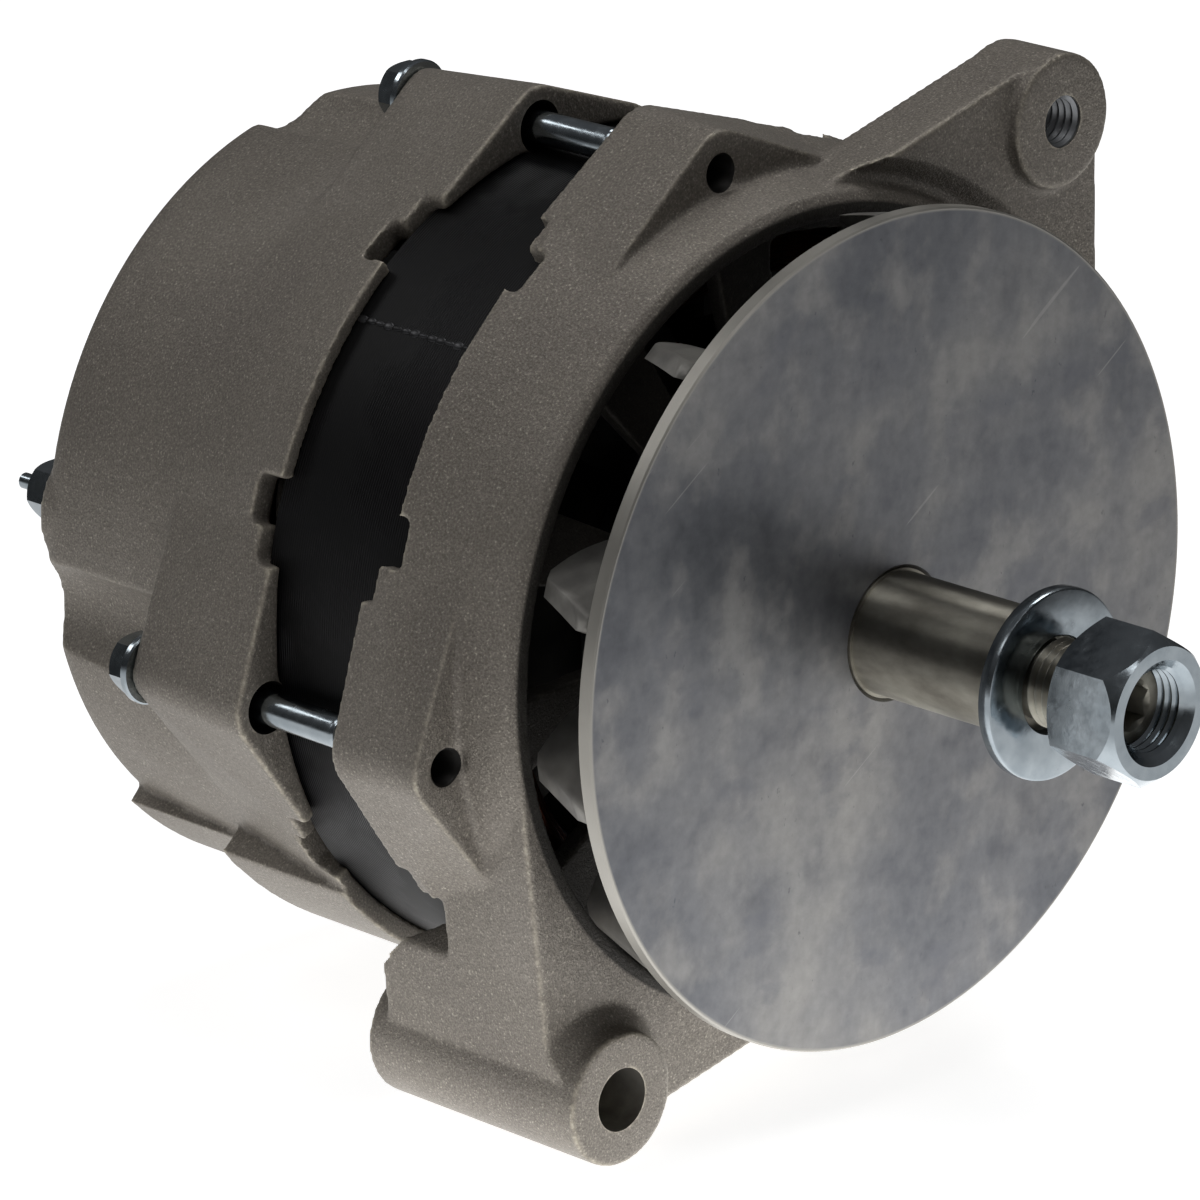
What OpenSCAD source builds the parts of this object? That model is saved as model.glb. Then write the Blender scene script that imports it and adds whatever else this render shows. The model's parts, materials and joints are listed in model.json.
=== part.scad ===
// Heavy-duty engine alternator, millimetres. The shaft lies along Y, the drive end faces -Y, +Z is up.
// The origin is on the shaft axis, in the plane of the fan's front face, where the pulley seats.

/* [Shaft] */
// Diameter of the pulley nose
nose_d = 22.2; // [18:0.1:22.6]
// Length of the pulley nose
nose_len = 34; // [20:1:50]
// Thread diameter at the shaft end
thread_d = 15.9; // [12:0.1:17.5]
// Thread length
thread_len = 20; // [17:1:30]
// Diameter of the fan seat
fan_seat_d = 23.2; // [22.8:0.1:24.4]
// Shaft diameter under the rotor core
rotor_seat_d = 24; // [20:0.5:24.6]
// Shaft diameter under the slip rings
ring_seat_d = 19; // [17.5:0.5:20]
// Radial clearance of parts fitted on the shaft
fit_gap = 0.04; // [0.02:0.01:0.1]

/* [Pulley nut] */
// Width across the nut's flats
nut_af = 24; // [21:0.5:30]
// Nut thickness
nut_t = 15; // [10:0.5:18]
// Gap between the washer and the loosened nut
nut_gap = 8.2; // [2:0.1:9]
// Washer diameter
washer_d = 34; // [28:0.5:44]
// Washer thickness
washer_t = 2.8; // [1.5:0.1:4]

/* [Fan] */
// Fan disc diameter
fan_d = 150.2; // [140:0.1:156]
// Fan disc thickness
fan_disc_t = 3; // [2:0.1:5]
// Hub length from the front face
fan_hub_len = 14; // [10:0.5:16]
// Hub diameter
fan_hub_d = 40; // [34:1:56]
// Blade reach behind the front face
blade_reach = 18.3; // [12:0.1:19]
// Blade thickness
blade_t = 2.2; // [1.2:0.1:4]
// Radius that the blade is curved to
blade_curve_r = 36; // [33:0.5:40]

/* [Drive-end frame] */
// Distance from the fan face to the frame's front edge
front_edge_y = 20; // [19.6:0.1:21.5]
// Radius of the front edge
front_edge_r = 73.6; // [72:0.1:76]
// Depth of the frame from front edge to rear rim
front_frame_len = 25; // [24.5:0.1:27]
// Outer radius at the stator
rim_r = 81; // [80:0.1:83]
// Depth of the fan recess
recess_depth = 7; // [4:0.5:7.5]
// Thickness of the front wall
front_wall = 4; // [3:0.5:4.5]
// Number of spokes in the front wall
spokes = 12; // [8:1:12]
// Width of each spoke window in degrees
window_deg = 18; // [8:1:22]

/* [Mounting lugs] */
// Angle of the pivot lug
pivot_angle = 235.6; // [232:0.2:238]
// Distance of the pivot lug from the shaft axis
pivot_r = 92.6; // [88:0.1:100]
// Pivot bore diameter
pivot_bore_d = 11.5; // [8:0.1:14]
// Boss diameter of the pivot lug
pivot_boss_d = 24.2; // [20:0.2:26]
// Length of the pivot lug
pivot_len = 50.8; // [42:0.1:54]
// Front face of the pivot lug behind the fan face
pivot_y = 13.5; // [12:0.1:16]
// Angle of the adjusting lug
adjust_angle = 52.4; // [48:0.2:58]
// Distance of the adjusting lug from the shaft axis
adjust_r = 98.2; // [94:0.1:103]
// Tapped hole diameter of the adjusting lug
adjust_hole_d = 9.5; // [6:0.1:12]
// Boss diameter of the adjusting lug
adjust_boss_d = 24.6; // [20:0.2:27]
// Thickness of the adjusting lug
adjust_len = 16; // [13:0.5:18]
// Front face of the adjusting lug behind the fan face
adjust_y = 17.5; // [16:0.1:19.4]

/* [Through bolts] */
// Distance of the bolts from the shaft axis
bolt_r = 80; // [79.6:0.1:81.5]
// Angle of the first bolt
bolt_angle = 10; // [8:1:12]
// Bolt diameter
bolt_d = 6; // [4:0.1:6.6]
// Width across the bolt head's flats
bolt_af = 10; // [8:0.5:11]
// Bolt head thickness
bolt_head = 4.5; // [3:0.1:6]
// Radius of the drive-end ears
ear_r = 8.5; // [7.4:0.1:10]
// Front face of the drive-end ears behind the fan face
ear_y = 30.5; // [29:0.5:32]
// Length of the drive-end ears
ear_len = 19.5; // [17:0.5:21]
// Clearance hole diameter in the rear ears
rear_hole_d = 9.6; // [7.2:0.1:11]

/* [Stator] */
// Stator diameter
stator_d = 152; // [148:0.5:153]
// Stator bore diameter
stator_bore_d = 108; // [107.6:0.1:110]
// Length of the stator stack
stack_len = 36; // [33:0.5:38]
// Number of slots
slots = 36; // [24:6:42]
// Slot width
slot_w = 5; // [3:0.1:5.4]
// Thickness of the yoke behind the slots
yoke = 6.5; // [5:0.5:10]
// Clearance between a winding and its slot
slot_gap = 0.4; // [0.2:0.05:0.8]
// Reach of the winding ends past the stack
end_turn = 9; // [5:0.5:9.6]

/* [Rotor] */
// Air gap between the rotor and the stator
air_gap = 0.6; // [0.4:0.05:1]
// Thickness of each pole disc
pole_t = 12; // [8:0.5:13]
// Space between the pole discs
coil_len = 14; // [10:0.5:18]
// Number of fingers on each pole
fingers = 6; // [4:1:7]
// Finger width at the root
finger_root = 23; // [16:0.5:24]
// Finger width at the tip
finger_tip = 10; // [5:0.5:12]

/* [Bearings] */
// Front bearing outer diameter
front_bearing_od = 62; // [58:0.5:63]
// Front bearing bore
front_bearing_id = 25; // [25:0.1:26]
// Front bearing width
front_bearing_w = 17; // [14:0.5:17.5]
// Front bearing ball diameter
front_ball_d = 11; // [9:0.1:11.5]
// Rear bearing outer diameter
rear_bearing_od = 40; // [37:0.5:42]
// Rear bearing bore
rear_bearing_id = 17; // [15:0.1:17.3]
// Rear bearing width
rear_bearing_w = 12; // [10:0.5:12.5]
// Rear bearing ball diameter
rear_ball_d = 6.7; // [5:0.1:7]
// Clearance of a ball in its race and its cage
ball_gap = 0.15; // [0.1:0.01:0.2]

/* [Rear frame] */
// Rear rim radius
rear_rim_r = 79; // [78.4:0.1:80]
// Overlap of the rear frame on the stator
rear_overlap = 2; // [1:0.1:4]
// Length of the rear frame
rear_len = 67; // [65:0.5:72]
// Radius of the rear end
rear_end_r = 70; // [68:0.1:71.5]
// Thickness of the rear wall
rear_wall = 4; // [3:0.1:5]
// Length of the rear ears
rear_ear_len = 30; // [26:0.5:32]
// Number of rear air slots
vents = 16; // [12:1:18]
// Width of each rear air slot
vent_w = 5; // [3:0.5:6]

/* [Slip rings and brushes] */
// Slip ring diameter
ring_d = 30; // [27:0.5:31]
// Slip ring width
ring_w = 8; // [6.6:0.2:8.4]
// Brush width along the shaft
brush_w = 6; // [4:0.2:6.4]
// Brush width across the shaft
brush_b = 9; // [6:0.5:10]
// Brush length
brush_len = 16; // [12:0.5:18]
// Brush travel against its spring
brush_travel = 5; // [2:0.5:6]

/* [Output terminal] */
// Stud diameter
stud_d = 6; // [4:0.1:6.2]
// Distance of the stud from the shaft axis
stud_r = 59; // [57:0.5:60]
// Angle of the stud
stud_angle = 176; // [170:1:182]
// Width across the terminal nut's flats
stud_af = 10; // [8:0.5:12]

/* [Hidden] */
$fn = 96;
cut = 1;
nose_r = nose_d / 2;
thread_r = thread_d / 2;
fan_seat_r = fan_seat_d / 2;
fan_r = fan_d / 2;

// Stations along the shaft, counted rearward from the fan's front face
front_rim_y = front_edge_y + front_frame_len;
recess_y = front_edge_y + recess_depth;
front_inner_y = recess_y + front_wall;
front_bearing_y = 18.5;
front_bearing_end = front_bearing_y + front_bearing_w;
seal_lip = 3;
retainer_t = 2;
register_depth = 3;
stack_y = front_rim_y - register_depth;
stack_end = stack_y + stack_len;
rear_rim_y = stack_end - rear_overlap;
rear_end_y = rear_rim_y + rear_len;
rotor_len = 2 * pole_t + coil_len;
rotor_y = (stack_y + stack_end - rotor_len) / 2;
rotor_end = rotor_y + rotor_len;
coil_y = rotor_y + pole_t;
pole_r = stator_bore_d / 2 - air_gap;
disc_r = 38;
ring_gap = 3;
rear_bearing_y = rear_end_y - 22;
sleeve_lip = 2;
sleeve_end = rear_bearing_y - 2;
ring_b_y = sleeve_end - sleeve_lip - ring_w;
ring_a_y = ring_b_y - ring_gap - ring_w;
sleeve_y = ring_a_y - sleeve_lip;
rear_bearing_end = rear_bearing_y + rear_bearing_w;
shaft_end_y = rear_bearing_end + 1;
washer_y = -nose_len - washer_t - 0.3;
nut_y = washer_y - nut_gap - nut_t;
washer_drop = 0.5;

// Frame walls and fits
stator_r = stator_d / 2;
tooth_tip = 1.5;
slot_r = stator_bore_d / 2 + tooth_tip;
slot_depth = stator_r - yoke - slot_r;
register_gap = 0.05;
frame_wall = 5;
housing_wall = 9;
housing_r = front_bearing_od / 2 + housing_wall;
rear_housing_r = rear_bearing_od / 2 + 7;
race_fit = 0.02;
spacer_r = 16;
relief_r = 80.4;
relief_depth = 3.5;
bolt_angles = [for (k = [0:3]) bolt_angle + 90 * k];
bolt_hole_r = bolt_d / 2 + 0.05;
bolt_end_y = ear_y + 6;
ear_end_y = ear_y + ear_len;
rear_ear_y = rear_rim_y - 1.5;
rear_ear_end = rear_ear_y + rear_ear_len;
rear_ear_r = 7.5;
rear_ear_tip_r = 5.2;
bolt_washer_t = 1.5;
bolt_washer_r = 6.6;
step_from = 18.3;
notch_from = 23;
notch_to = 29.5;
waist_y = rear_ear_end + 2.5;
waist_r = 74;
shoulder_r = rear_end_r + 1.8;
vent_len = 22;
bowl_wall = 8.5;
groove_r = 11.2;

// Fan blades: unequal spacing keeps the fan quiet
blade_steps = [41.5, 36, 26.5, 27, 32, 34, 32, 29, 32, 35, 35];
first_blade = 87;
function sum_to(list, n) = n == 0 ? 0 : list[n - 1] + sum_to(list, n - 1);
blade_tip_r = 71;
blade_foot_r = 41;
blade_tilt = 48;

// Rear interior
stud_pos = [stud_r * cos(stud_angle), stud_r * sin(stud_angle)];
sink_y = rear_end_y - 19;
sink_t = 5;
ground_t = 5;
stand_off = 3;
ground_y = rear_end_y - rear_wall - ground_t - stand_off;
diode_r = 6.35;
diode_len = 9;
diode_ring_r = 47;
diode_can = 5.5;
diode_lead_r = 0.8;
fin_len = 25;
fin_h = 8;
fin_t = 2;
regulator_w = 34;
regulator_h = 24;
regulator_len = 18;
groove_step = 5.2;
capacitor_d = 16;
capacitor_len = 26;
capacitor_r = 52;
lead_w = 4;
brush_top = ring_d / 2 + 0.3 + brush_len;
holder_roof = 3;
holder_wall = 1.8;
holder_arm = 9;
spring_len = 12;
holder_top = brush_top + spring_len + holder_roof;

// Turns a shape drawn around Z so that its +Z points to the rear of the alternator
module along_shaft() {
    rotate([-90, 0, 0]) children();
}

// Places a shape drawn on +X at an angle around the shaft, counted from +X towards +Z
module at_angle(a) {
    rotate([0, 0, -a]) children();
}

module ring(r_out, r_in, y0, y1) {
    translate([0, 0, y0]) difference() {
        cylinder(r = r_out, h = y1 - y0);
        translate([0, 0, -cut]) cylinder(r = r_in, h = y1 - y0 + 2 * cut);
    }
}

// A solid of revolution around the shaft from [radius, station] points
module turned(points) {
    rotate_extrude() polygon(points);
}

// A flat sector from angle a0 to a1, between two radii
module sector(r_in, r_out, a0, a1) {
    steps = 6;
    intersection() {
        difference() {
            circle(r = r_out);
            circle(r = r_in);
        }
        polygon(concat([[0, 0]], [for (k = [0:steps])
            1.2 * r_out * [cos(-a0 - (a1 - a0) * k / steps), sin(-a0 - (a1 - a0) * k / steps)]]));
    }
}

module hexagon(af, h) {
    rotate([0, 0, 30]) cylinder(r = af / sqrt(3), h = h, $fn = 6);
}

// Hexagon with its corners turned to a chamfer at both ends
module chamfered_hexagon(af, h, deep = 0) {
    corner = af / sqrt(3);
    chamfer = (corner - af / 2) * 0.9;
    front = max(chamfer, deep);
    intersection() {
        hexagon(af, h);
        rotate_extrude() polygon([[0, 0], [af / 2 * 0.97, 0], [corner, front], [corner, h - chamfer],
            [af / 2 * 0.97, h], [0, h]]);
    }
}

module place_pivot() {
    at_angle(pivot_angle) translate([pivot_r, 0, 0]) children();
}

module place_adjust() {
    at_angle(adjust_angle) translate([adjust_r, 0, 0]) children();
}

// One drive-end ear: from the cone at its front to the full rim at its rear, blended around the bolt
module front_ear() {
    front_ring = cone_r(ear_y);
    rear_tangent = acos((rim_r - ear_r) / bolt_r);
    front_tangent = acos((front_ring - ear_r + 1) / bolt_r);
    hull() {
        translate([bolt_r, 0, ear_y]) cylinder(r = ear_r - 1, h = 0.1, $fn = 32);
        translate([bolt_r, 0, ear_end_y - 0.1]) cylinder(r = ear_r, h = 0.1, $fn = 32);
        for (s = [-1, 1]) {
            rotate([0, 0, s * front_tangent]) translate([front_ring - 3.3, -1, ear_y]) cube([3, 2, 0.1]);
            rotate([0, 0, s * rear_tangent]) translate([rim_r - 3.3, -1, ear_end_y - 0.1]) cube([3, 2,
                0.1]);
        }
    }
}

function cone_r(y) = front_edge_r + (rim_r - front_edge_r) * (y - front_edge_y) / front_frame_len;

// Outline of a lug between the frame's ring and its boss: each flank lies on a line tangent to the boss
module lug_web(flank_a, flank_b, r_boss, r_pos) {
    a = -acos((flank_a - r_boss) / r_pos);
    b = acos((flank_b - r_boss) / r_pos);
    polygon([[front_edge_r - 6, 0], (front_edge_r - 2) * [cos(a - 9), sin(a - 9)], flank_a * [cos(a),
        sin(a)],
        [r_pos, 0] + (r_boss - 0.06) * [cos(a), sin(a)], [r_pos, 0] + (r_boss - 0.06) * [cos(b), sin(b)],
        flank_b * [cos(b), sin(b)], (front_edge_r - 2) * [cos(b + 9), sin(b + 9)]]);
    translate([r_pos, 0]) circle(r = r_boss);
}

module pivot_web() {
    lug_web(front_edge_r - 0.2, front_edge_r - 0.6, pivot_boss_d / 2 - 1.6, pivot_r);
}

module pivot_lug() {
    boss_r = pivot_boss_d / 2;
    web_end = pivot_y + pivot_len - 4;
    at_angle(pivot_angle) {
        intersection() {
            translate([0, 0, front_edge_y - 1]) linear_extrude(web_end - front_edge_y + 2) pivot_web();
            // Side view of the web: it widens from the rim to the boss
            rotate([90, 0, 0]) linear_extrude(120, center = true) polygon([[40, front_edge_y], [130,
                front_edge_y],
                [130, web_end], [pivot_r - 6, web_end], [rim_r - 7, front_rim_y], [40, front_rim_y]]);
        }
        translate([pivot_r, 0, pivot_y]) cylinder(r = boss_r, h = pivot_len);
        intersection() {
            translate([pivot_r, 0, front_edge_y - 3.8]) cylinder(r1 = boss_r - 0.3, r2 = boss_r + 3.5,
                h = 4.2);
            translate([0, 0, front_edge_y - 5]) linear_extrude(5.4) pivot_web();
        }
    }
}

module adjust_web() {
    lug_web(front_edge_r - 3.3, front_edge_r + 2.2, adjust_boss_d / 2 - 0.3, adjust_r);
}

module adjust_lug() {
    boss_r = adjust_boss_d / 2;
    at_angle(adjust_angle) difference() {
        union() {
            translate([0, 0, front_edge_y]) linear_extrude(adjust_y + adjust_len - front_edge_y)
                adjust_web();
            translate([adjust_r, 0, adjust_y]) cylinder(r = boss_r, h = adjust_len);
            intersection() {
                translate([adjust_r, 0, front_edge_y - 1.2]) cylinder(r1 = boss_r - 0.3,
                    r2 = boss_r + 1.2, h = 1.5);
                translate([0, 0, front_edge_y - 2]) linear_extrude(3) adjust_web();
            }
        }
        // Arc that clears the fan
        turned([[0, front_edge_y - 8], [relief_r, front_edge_y - 8], [relief_r, front_edge_y],
            [relief_r - relief_depth, front_edge_y + relief_depth], [0, front_edge_y + relief_depth]]);
    }
}

// Space inside the drive-end frame, which its ears and lugs leave free; it ends inside the wall
module front_cavity() {
    turned([[0, 0], [front_edge_r - 1.9, 0], [front_edge_r - 1.9, recess_y], [stator_r - 1, stack_y - 2],
        [stator_r + 0.6, stack_y], [stator_r + 0.6, 90], [0, 90]]);
}

module drive_end_body() {
    inner = frame_wall - 0.9;
    edge = 1.5;
    turned([[front_edge_r - inner, front_edge_y], [front_edge_r - edge, front_edge_y],
        [cone_r(front_edge_y + edge), front_edge_y + edge], [rim_r, front_rim_y],
        [stator_r + register_gap, front_rim_y], [stator_r + register_gap, stack_y],
        [stator_r - 2.5, stack_y], [stator_r - 2.5, stack_y - 4], [front_edge_r - 1.6, front_inner_y],
        [housing_r - 2, front_inner_y], [housing_r - 2, recess_y], [front_edge_r - inner - 1.5, recess_y],
        [front_edge_r - inner, recess_y - 1.5]]);
}

module front_housing() {
    bore_r = front_bearing_od / 2 + race_fit;
    turned([[spacer_r + 1, front_bearing_y - seal_lip], [housing_r - 3, front_bearing_y - seal_lip],
        [housing_r, front_bearing_y], [housing_r, front_bearing_end], [bore_r, front_bearing_end],
        [bore_r, front_bearing_y], [spacer_r + 1, front_bearing_y]]);
}

// Steps in a rim on both sides of each ear, cut from the given station away from the frame
module rim_steps(y, from, to, upward) {
    for (a = bolt_angles, s = [-1, 1]) at_angle(a + s * (from + to) / 2)
        translate([0, 0, upward ? y : y - 20]) linear_extrude(20)
            sector(stator_r - 8, rim_r + 12, (from - to) / 2, (to - from) / 2);
}

module drive_end_frame() color("#6f6b65") along_shaft() {
    window_out = front_edge_r - frame_wall - 2.5;
    difference() {
        union() {
            drive_end_body();
            front_housing();
            difference() {
                union() {
                    for (a = bolt_angles) at_angle(a) front_ear();
                    adjust_lug();
                    pivot_lug();
                }
                front_cavity();
            }
        }
        // Air windows between the spokes
        for (k = [0:spokes - 1]) at_angle(bolt_angle + (k + 0.5) * 360 / spokes)
            translate([0, 0, recess_y - cut]) linear_extrude(front_wall + 2 * cut)
                sector(housing_r + 3, window_out, -window_deg / 2, window_deg / 2);
        rim_steps(front_rim_y + 2.5, step_from, notch_from + 0.8, true);
        rim_steps(front_rim_y - 2, notch_from, notch_to, true);
        // Tapped holes for the through bolts
        for (a = bolt_angles) at_angle(a) translate([bolt_r, 0, 0]) turned([[0, ear_y - cut],
            [bolt_hole_r + 0.6 + cut, ear_y - cut], [bolt_hole_r, ear_y + 0.6], [bolt_hole_r,
                ear_end_y + cut], [0, ear_end_y + cut]]);
        place_pivot() translate([0, 0, pivot_y - cut]) cylinder(d = pivot_bore_d, h = pivot_len + 2 * cut);
        place_adjust() translate([0, 0, adjust_y - cut]) cylinder(d = adjust_hole_d,
            h = adjust_len + 2 * cut);
        // Retainer screw holes
        for (k = [0:2]) at_angle(30 + 120 * k) translate([screw_ring_r, 0, front_bearing_end - screw_len])
            cylinder(r = screw_r + 0.05, h = screw_len + cut);
    }
}

screw_ring_r = front_bearing_od / 2 + housing_wall / 2;
screw_r = 2;
screw_len = 9;

// One rear ear: full at the rim and drafted towards the rear
module rear_ear() {
    front_tangent = acos((rear_rim_r - rear_ear_r) / bolt_r);
    rear_tangent = acos((waist_r - rear_ear_tip_r) / bolt_r);
    inset = 2.6;
    hull() {
        translate([bolt_r, 0, rear_ear_y]) cylinder(r = rear_ear_r, h = 0.1, $fn = 32);
        translate([bolt_r, 0, rear_ear_end]) cylinder(r = rear_ear_tip_r, h = 0.5, $fn = 32);
        for (s = [-1, 1]) {
            rotate([0, 0, s * front_tangent]) translate([rear_rim_r - inset, -1, rear_ear_y]) cube([2, 2,
                0.4]);
            rotate([0, 0, s * rear_tangent]) translate([waist_r - inset, -1, rear_ear_end]) cube([2, 2,
                0.5]);
        }
    }
}

module rear_bowl() {
    wall_y = rear_end_y - rear_wall;
    turned([[stator_r + register_gap, rear_rim_y], [rear_rim_r, rear_rim_y], [waist_r, waist_y],
        [shoulder_r, rear_end_y - 5], [shoulder_r - 0.6, rear_end_y - 2.2], [rear_end_r - 1,
            rear_end_y - 0.6],
        [rear_end_r - 2.6, rear_end_y], [0, rear_end_y], [0, wall_y], [shoulder_r - bowl_wall, wall_y],
        [waist_r - bowl_wall, waist_y - 6], [stator_r - 2.8, stack_end + 4], [stator_r - 2.8, stack_end],
        [stator_r + register_gap, stack_end]]);
}

module rear_housing() {
    bore_r = rear_bearing_od / 2 + race_fit;
    difference() {
        translate([0, 0, rear_bearing_y]) cylinder(r = rear_housing_r,
            h = rear_end_y - rear_wall / 2 - rear_bearing_y);
        translate([0, 0, rear_bearing_y - cut]) cylinder(r = bore_r, h = rear_bearing_w + cut);
        translate([0, 0, rear_bearing_y]) cylinder(r = bore_r - 3, h = rear_bearing_w + 3);
    }
}

module rear_frame() color("#6a6660") along_shaft() {
    difference() {
        union() {
            rear_bowl();
            rear_housing();
            difference() {
                union() {
                    for (a = bolt_angles) at_angle(a) rear_ear();
                    // Boss around the output stud
                    at_angle(stud_angle) translate([stud_r, 0, rear_end_y - 30]) cylinder(r = 13, h = 29.4);
                    // Raised pads under the rear quarter
                    translate([0, 0, rear_rim_y]) linear_extrude(32) sector(stator_r - 2, rear_rim_r + 1,
                        222, 250);
                    translate([0, 0, rear_rim_y + 20]) linear_extrude(rear_len - 22)
                        sector(rear_end_r - 4, rear_end_r + 5, 226, 246);
                }
                // The space inside, up to the middle of the wall
                turned([[0, rear_rim_y - 15], [stator_r + 0.6, rear_rim_y - 15], [stator_r + 0.6,
                    stack_end],
                    [stator_r - 1.2, stack_end + 3], [waist_r - 3.5, waist_y - 4],
                    [shoulder_r - 3.5, rear_end_y - rear_wall / 2], [0, rear_end_y - rear_wall / 2]]);
            }
        }
        rim_steps(rear_rim_y + 3, step_from, notch_from + 0.8, false);
        rim_steps(rear_rim_y + 6.5, notch_from, notch_to, false);
        // Bolt holes and the grooves that clear their heads
        for (a = bolt_angles) at_angle(a) translate([bolt_r, 0, 0]) turned([[0, rear_ear_y - cut],
            [rear_hole_d / 2, rear_ear_y - cut], [bolt_d / 2 + 0.5, rear_ear_y + 16], [bolt_d / 2 + 0.5,
                rear_ear_end],
            [groove_r - 1, rear_ear_end], [groove_r - 1, rear_ear_end + 5], [0, rear_ear_end + 5]]);
        // Flutes that clear a wrench on the bolt heads
        for (a = bolt_angles) at_angle(a) translate([bolt_r - 1.7, 0, rear_ear_end + 0.4])
            cylinder(r = groove_r, h = rear_end_y);
        // Air slots in the rear wall
        for (k = [0:vents - 1]) if (abs((k * 360 / vents + 540 - stud_angle) % 360 - 180) > 16)
            at_angle(k * 360 / vents) translate([rear_housing_r + 5, -vent_w / 2,
                rear_end_y - rear_wall - cut]) {
                cube([vent_len, vent_w, rear_wall + 2 * cut]);
                translate([vent_len, vent_w / 2, 0]) cylinder(d = vent_w, h = rear_wall + 2 * cut);
            }
        // Insulated hole for the output stud
        translate([stud_pos[0], -stud_pos[1], rear_end_y - rear_wall - cut])
            cylinder(r = stud_d / 2 + 2.1, h = rear_wall + 2 * cut);
        // Pocket beside the stud's head and insulator
        translate([stud_pos[0], -stud_pos[1], sink_y - 4.6])
            cylinder(r = stud_d / 2 + 3.8, h = rear_end_y - rear_wall + 0.4 - sink_y + 4.6);
    }
}

module stator_core() color("#1b1b1c") along_shaft() translate([0, 0, stack_y]) linear_extrude(stack_len)
    difference() {
        circle(d = stator_d);
        circle(d = stator_bore_d);
        for (k = [0:slots - 1]) rotate(k * 360 / slots) {
            translate([slot_r, -slot_w / 2]) square([slot_depth, slot_w]);
            translate([stator_bore_d / 2 - 2, -1.2]) square([5, 2.4]);
        }
    }

module stator_windings() color("#b5602f") along_shaft() {
    bar_w = slot_w - 2 * slot_gap;
    bar_r = slot_r + slot_gap + 1;
    bar_depth = slot_depth - 2 * slot_gap - 1;
    end_gap = 0.5;
    round = 3;
    for (k = [0:slots - 1]) rotate([0, 0, k * 360 / slots])
        translate([bar_r + 0.4, -bar_w / 2, stack_y - end_turn + round])
            cube([bar_depth - 1, bar_w, stack_len + 2 * end_turn - 2 * round]);
    for (y = [stack_y - end_turn, stack_end + end_gap]) turned([[bar_r, y + round], [bar_r + round, y],
        [bar_r + bar_depth - round, y], [bar_r + bar_depth, y + round], [bar_r + bar_depth,
            y + end_turn - end_gap - round],
        [bar_r + bar_depth - round, y + end_turn - end_gap], [bar_r + round, y + end_turn - end_gap],
        [bar_r, y + end_turn - end_gap - round]]);
}

module through_bolts() color("#b9bcbe") along_shaft() for (a = bolt_angles) at_angle(a)
    translate([bolt_r, 0, 0]) {
    head_y = rear_ear_end + bolt_washer_t;
    translate([0, 0, bolt_end_y]) cylinder(d = bolt_d, h = head_y - bolt_end_y + 1);
    translate([0, 0, head_y]) chamfered_hexagon(bolt_af, bolt_head);
}

module bolt_washers() color("#c3c6c8") along_shaft() for (a = bolt_angles) at_angle(a) translate([bolt_r,
    0, 0])
    ring(bolt_washer_r, bolt_d / 2 + 0.3, rear_ear_end, rear_ear_end + bolt_washer_t);

module bearing_retainer() color("#8b8d8f") along_shaft() difference() {
    ring(housing_r - 0.5, front_bearing_od / 2 - 7, front_bearing_end, front_bearing_end + retainer_t);
    for (k = [0:2]) at_angle(30 + 120 * k) translate([screw_ring_r, 0, front_bearing_end - cut]) {
        cylinder(r = screw_r + 0.2, h = retainer_t + 2 * cut);
        translate([0, 0, cut + retainer_t - 1.6]) cylinder(r1 = screw_r + 0.2, r2 = screw_r + 1.8,
            h = 1.61);
    }
}

module retainer_screws() color("#9ea1a3") along_shaft() for (k = [0:2]) at_angle(30 + 120 * k)
    translate([screw_ring_r, 0, front_bearing_end]) {
        translate([0, 0, 1 - screw_len]) cylinder(r = screw_r, h = screw_len - 0.4);
        translate([0, 0, retainer_t - 1.5]) cylinder(r1 = screw_r, r2 = screw_r + 1.5, h = 1.5);
    }

// Races, balls and cage of a deep-groove bearing, centred on z = 0
module outer_race(od, id, w, ball) {
    mid = (od + id) / 4;
    difference() {
        ring(od / 2, mid + ball * 0.28, -w / 2, w / 2);
        rotate_extrude() translate([mid, 0]) circle(r = ball / 2);
    }
}

module inner_race(od, id, w, ball) {
    mid = (od + id) / 4;
    difference() {
        ring(mid - ball * 0.28, id / 2 + fit_gap, -w / 2, w / 2);
        rotate_extrude() translate([mid, 0]) circle(r = ball / 2);
    }
}

module ball_set(od, id, ball, count) {
    for (k = [0:count - 1]) rotate([0, 0, k * 360 / count]) translate([(od + id) / 4, 0, 0])
        sphere(r = ball / 2 - ball_gap);
}

module ball_cage(od, id, ball, count) {
    mid = (od + id) / 4;
    difference() {
        ring(mid + ball * 0.16, mid - ball * 0.16, -ball * 0.62, ball * 0.62);
        for (k = [0:count - 1]) rotate([0, 0, k * 360 / count]) translate([mid - ball / 2, 0, 0])
            rotate([0, 90, 0])
            cylinder(r = ball / 2, h = ball);
    }
}

front_balls = 8;
rear_balls = 8;
module at_front_bearing() {
    along_shaft() translate([0, 0, front_bearing_y + front_bearing_w / 2]) children();
}
module at_rear_bearing() {
    along_shaft() translate([0, 0, rear_bearing_y + rear_bearing_w / 2]) children();
}
module front_bearing_outer() color("#a9acae") at_front_bearing()
    outer_race(front_bearing_od, front_bearing_id, front_bearing_w, front_ball_d);
module front_bearing_inner() color("#a9acae") at_front_bearing()
    inner_race(front_bearing_od, front_bearing_id, front_bearing_w, front_ball_d);
module front_bearing_balls() color("#cfd1d3") at_front_bearing()
    ball_set(front_bearing_od, front_bearing_id, front_ball_d, front_balls);
module front_bearing_cage() color("#a88a4a") at_front_bearing()
    ball_cage(front_bearing_od, front_bearing_id, front_ball_d, front_balls);
module rear_bearing_outer() color("#a9acae") at_rear_bearing()
    outer_race(rear_bearing_od, rear_bearing_id, rear_bearing_w, rear_ball_d);
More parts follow.
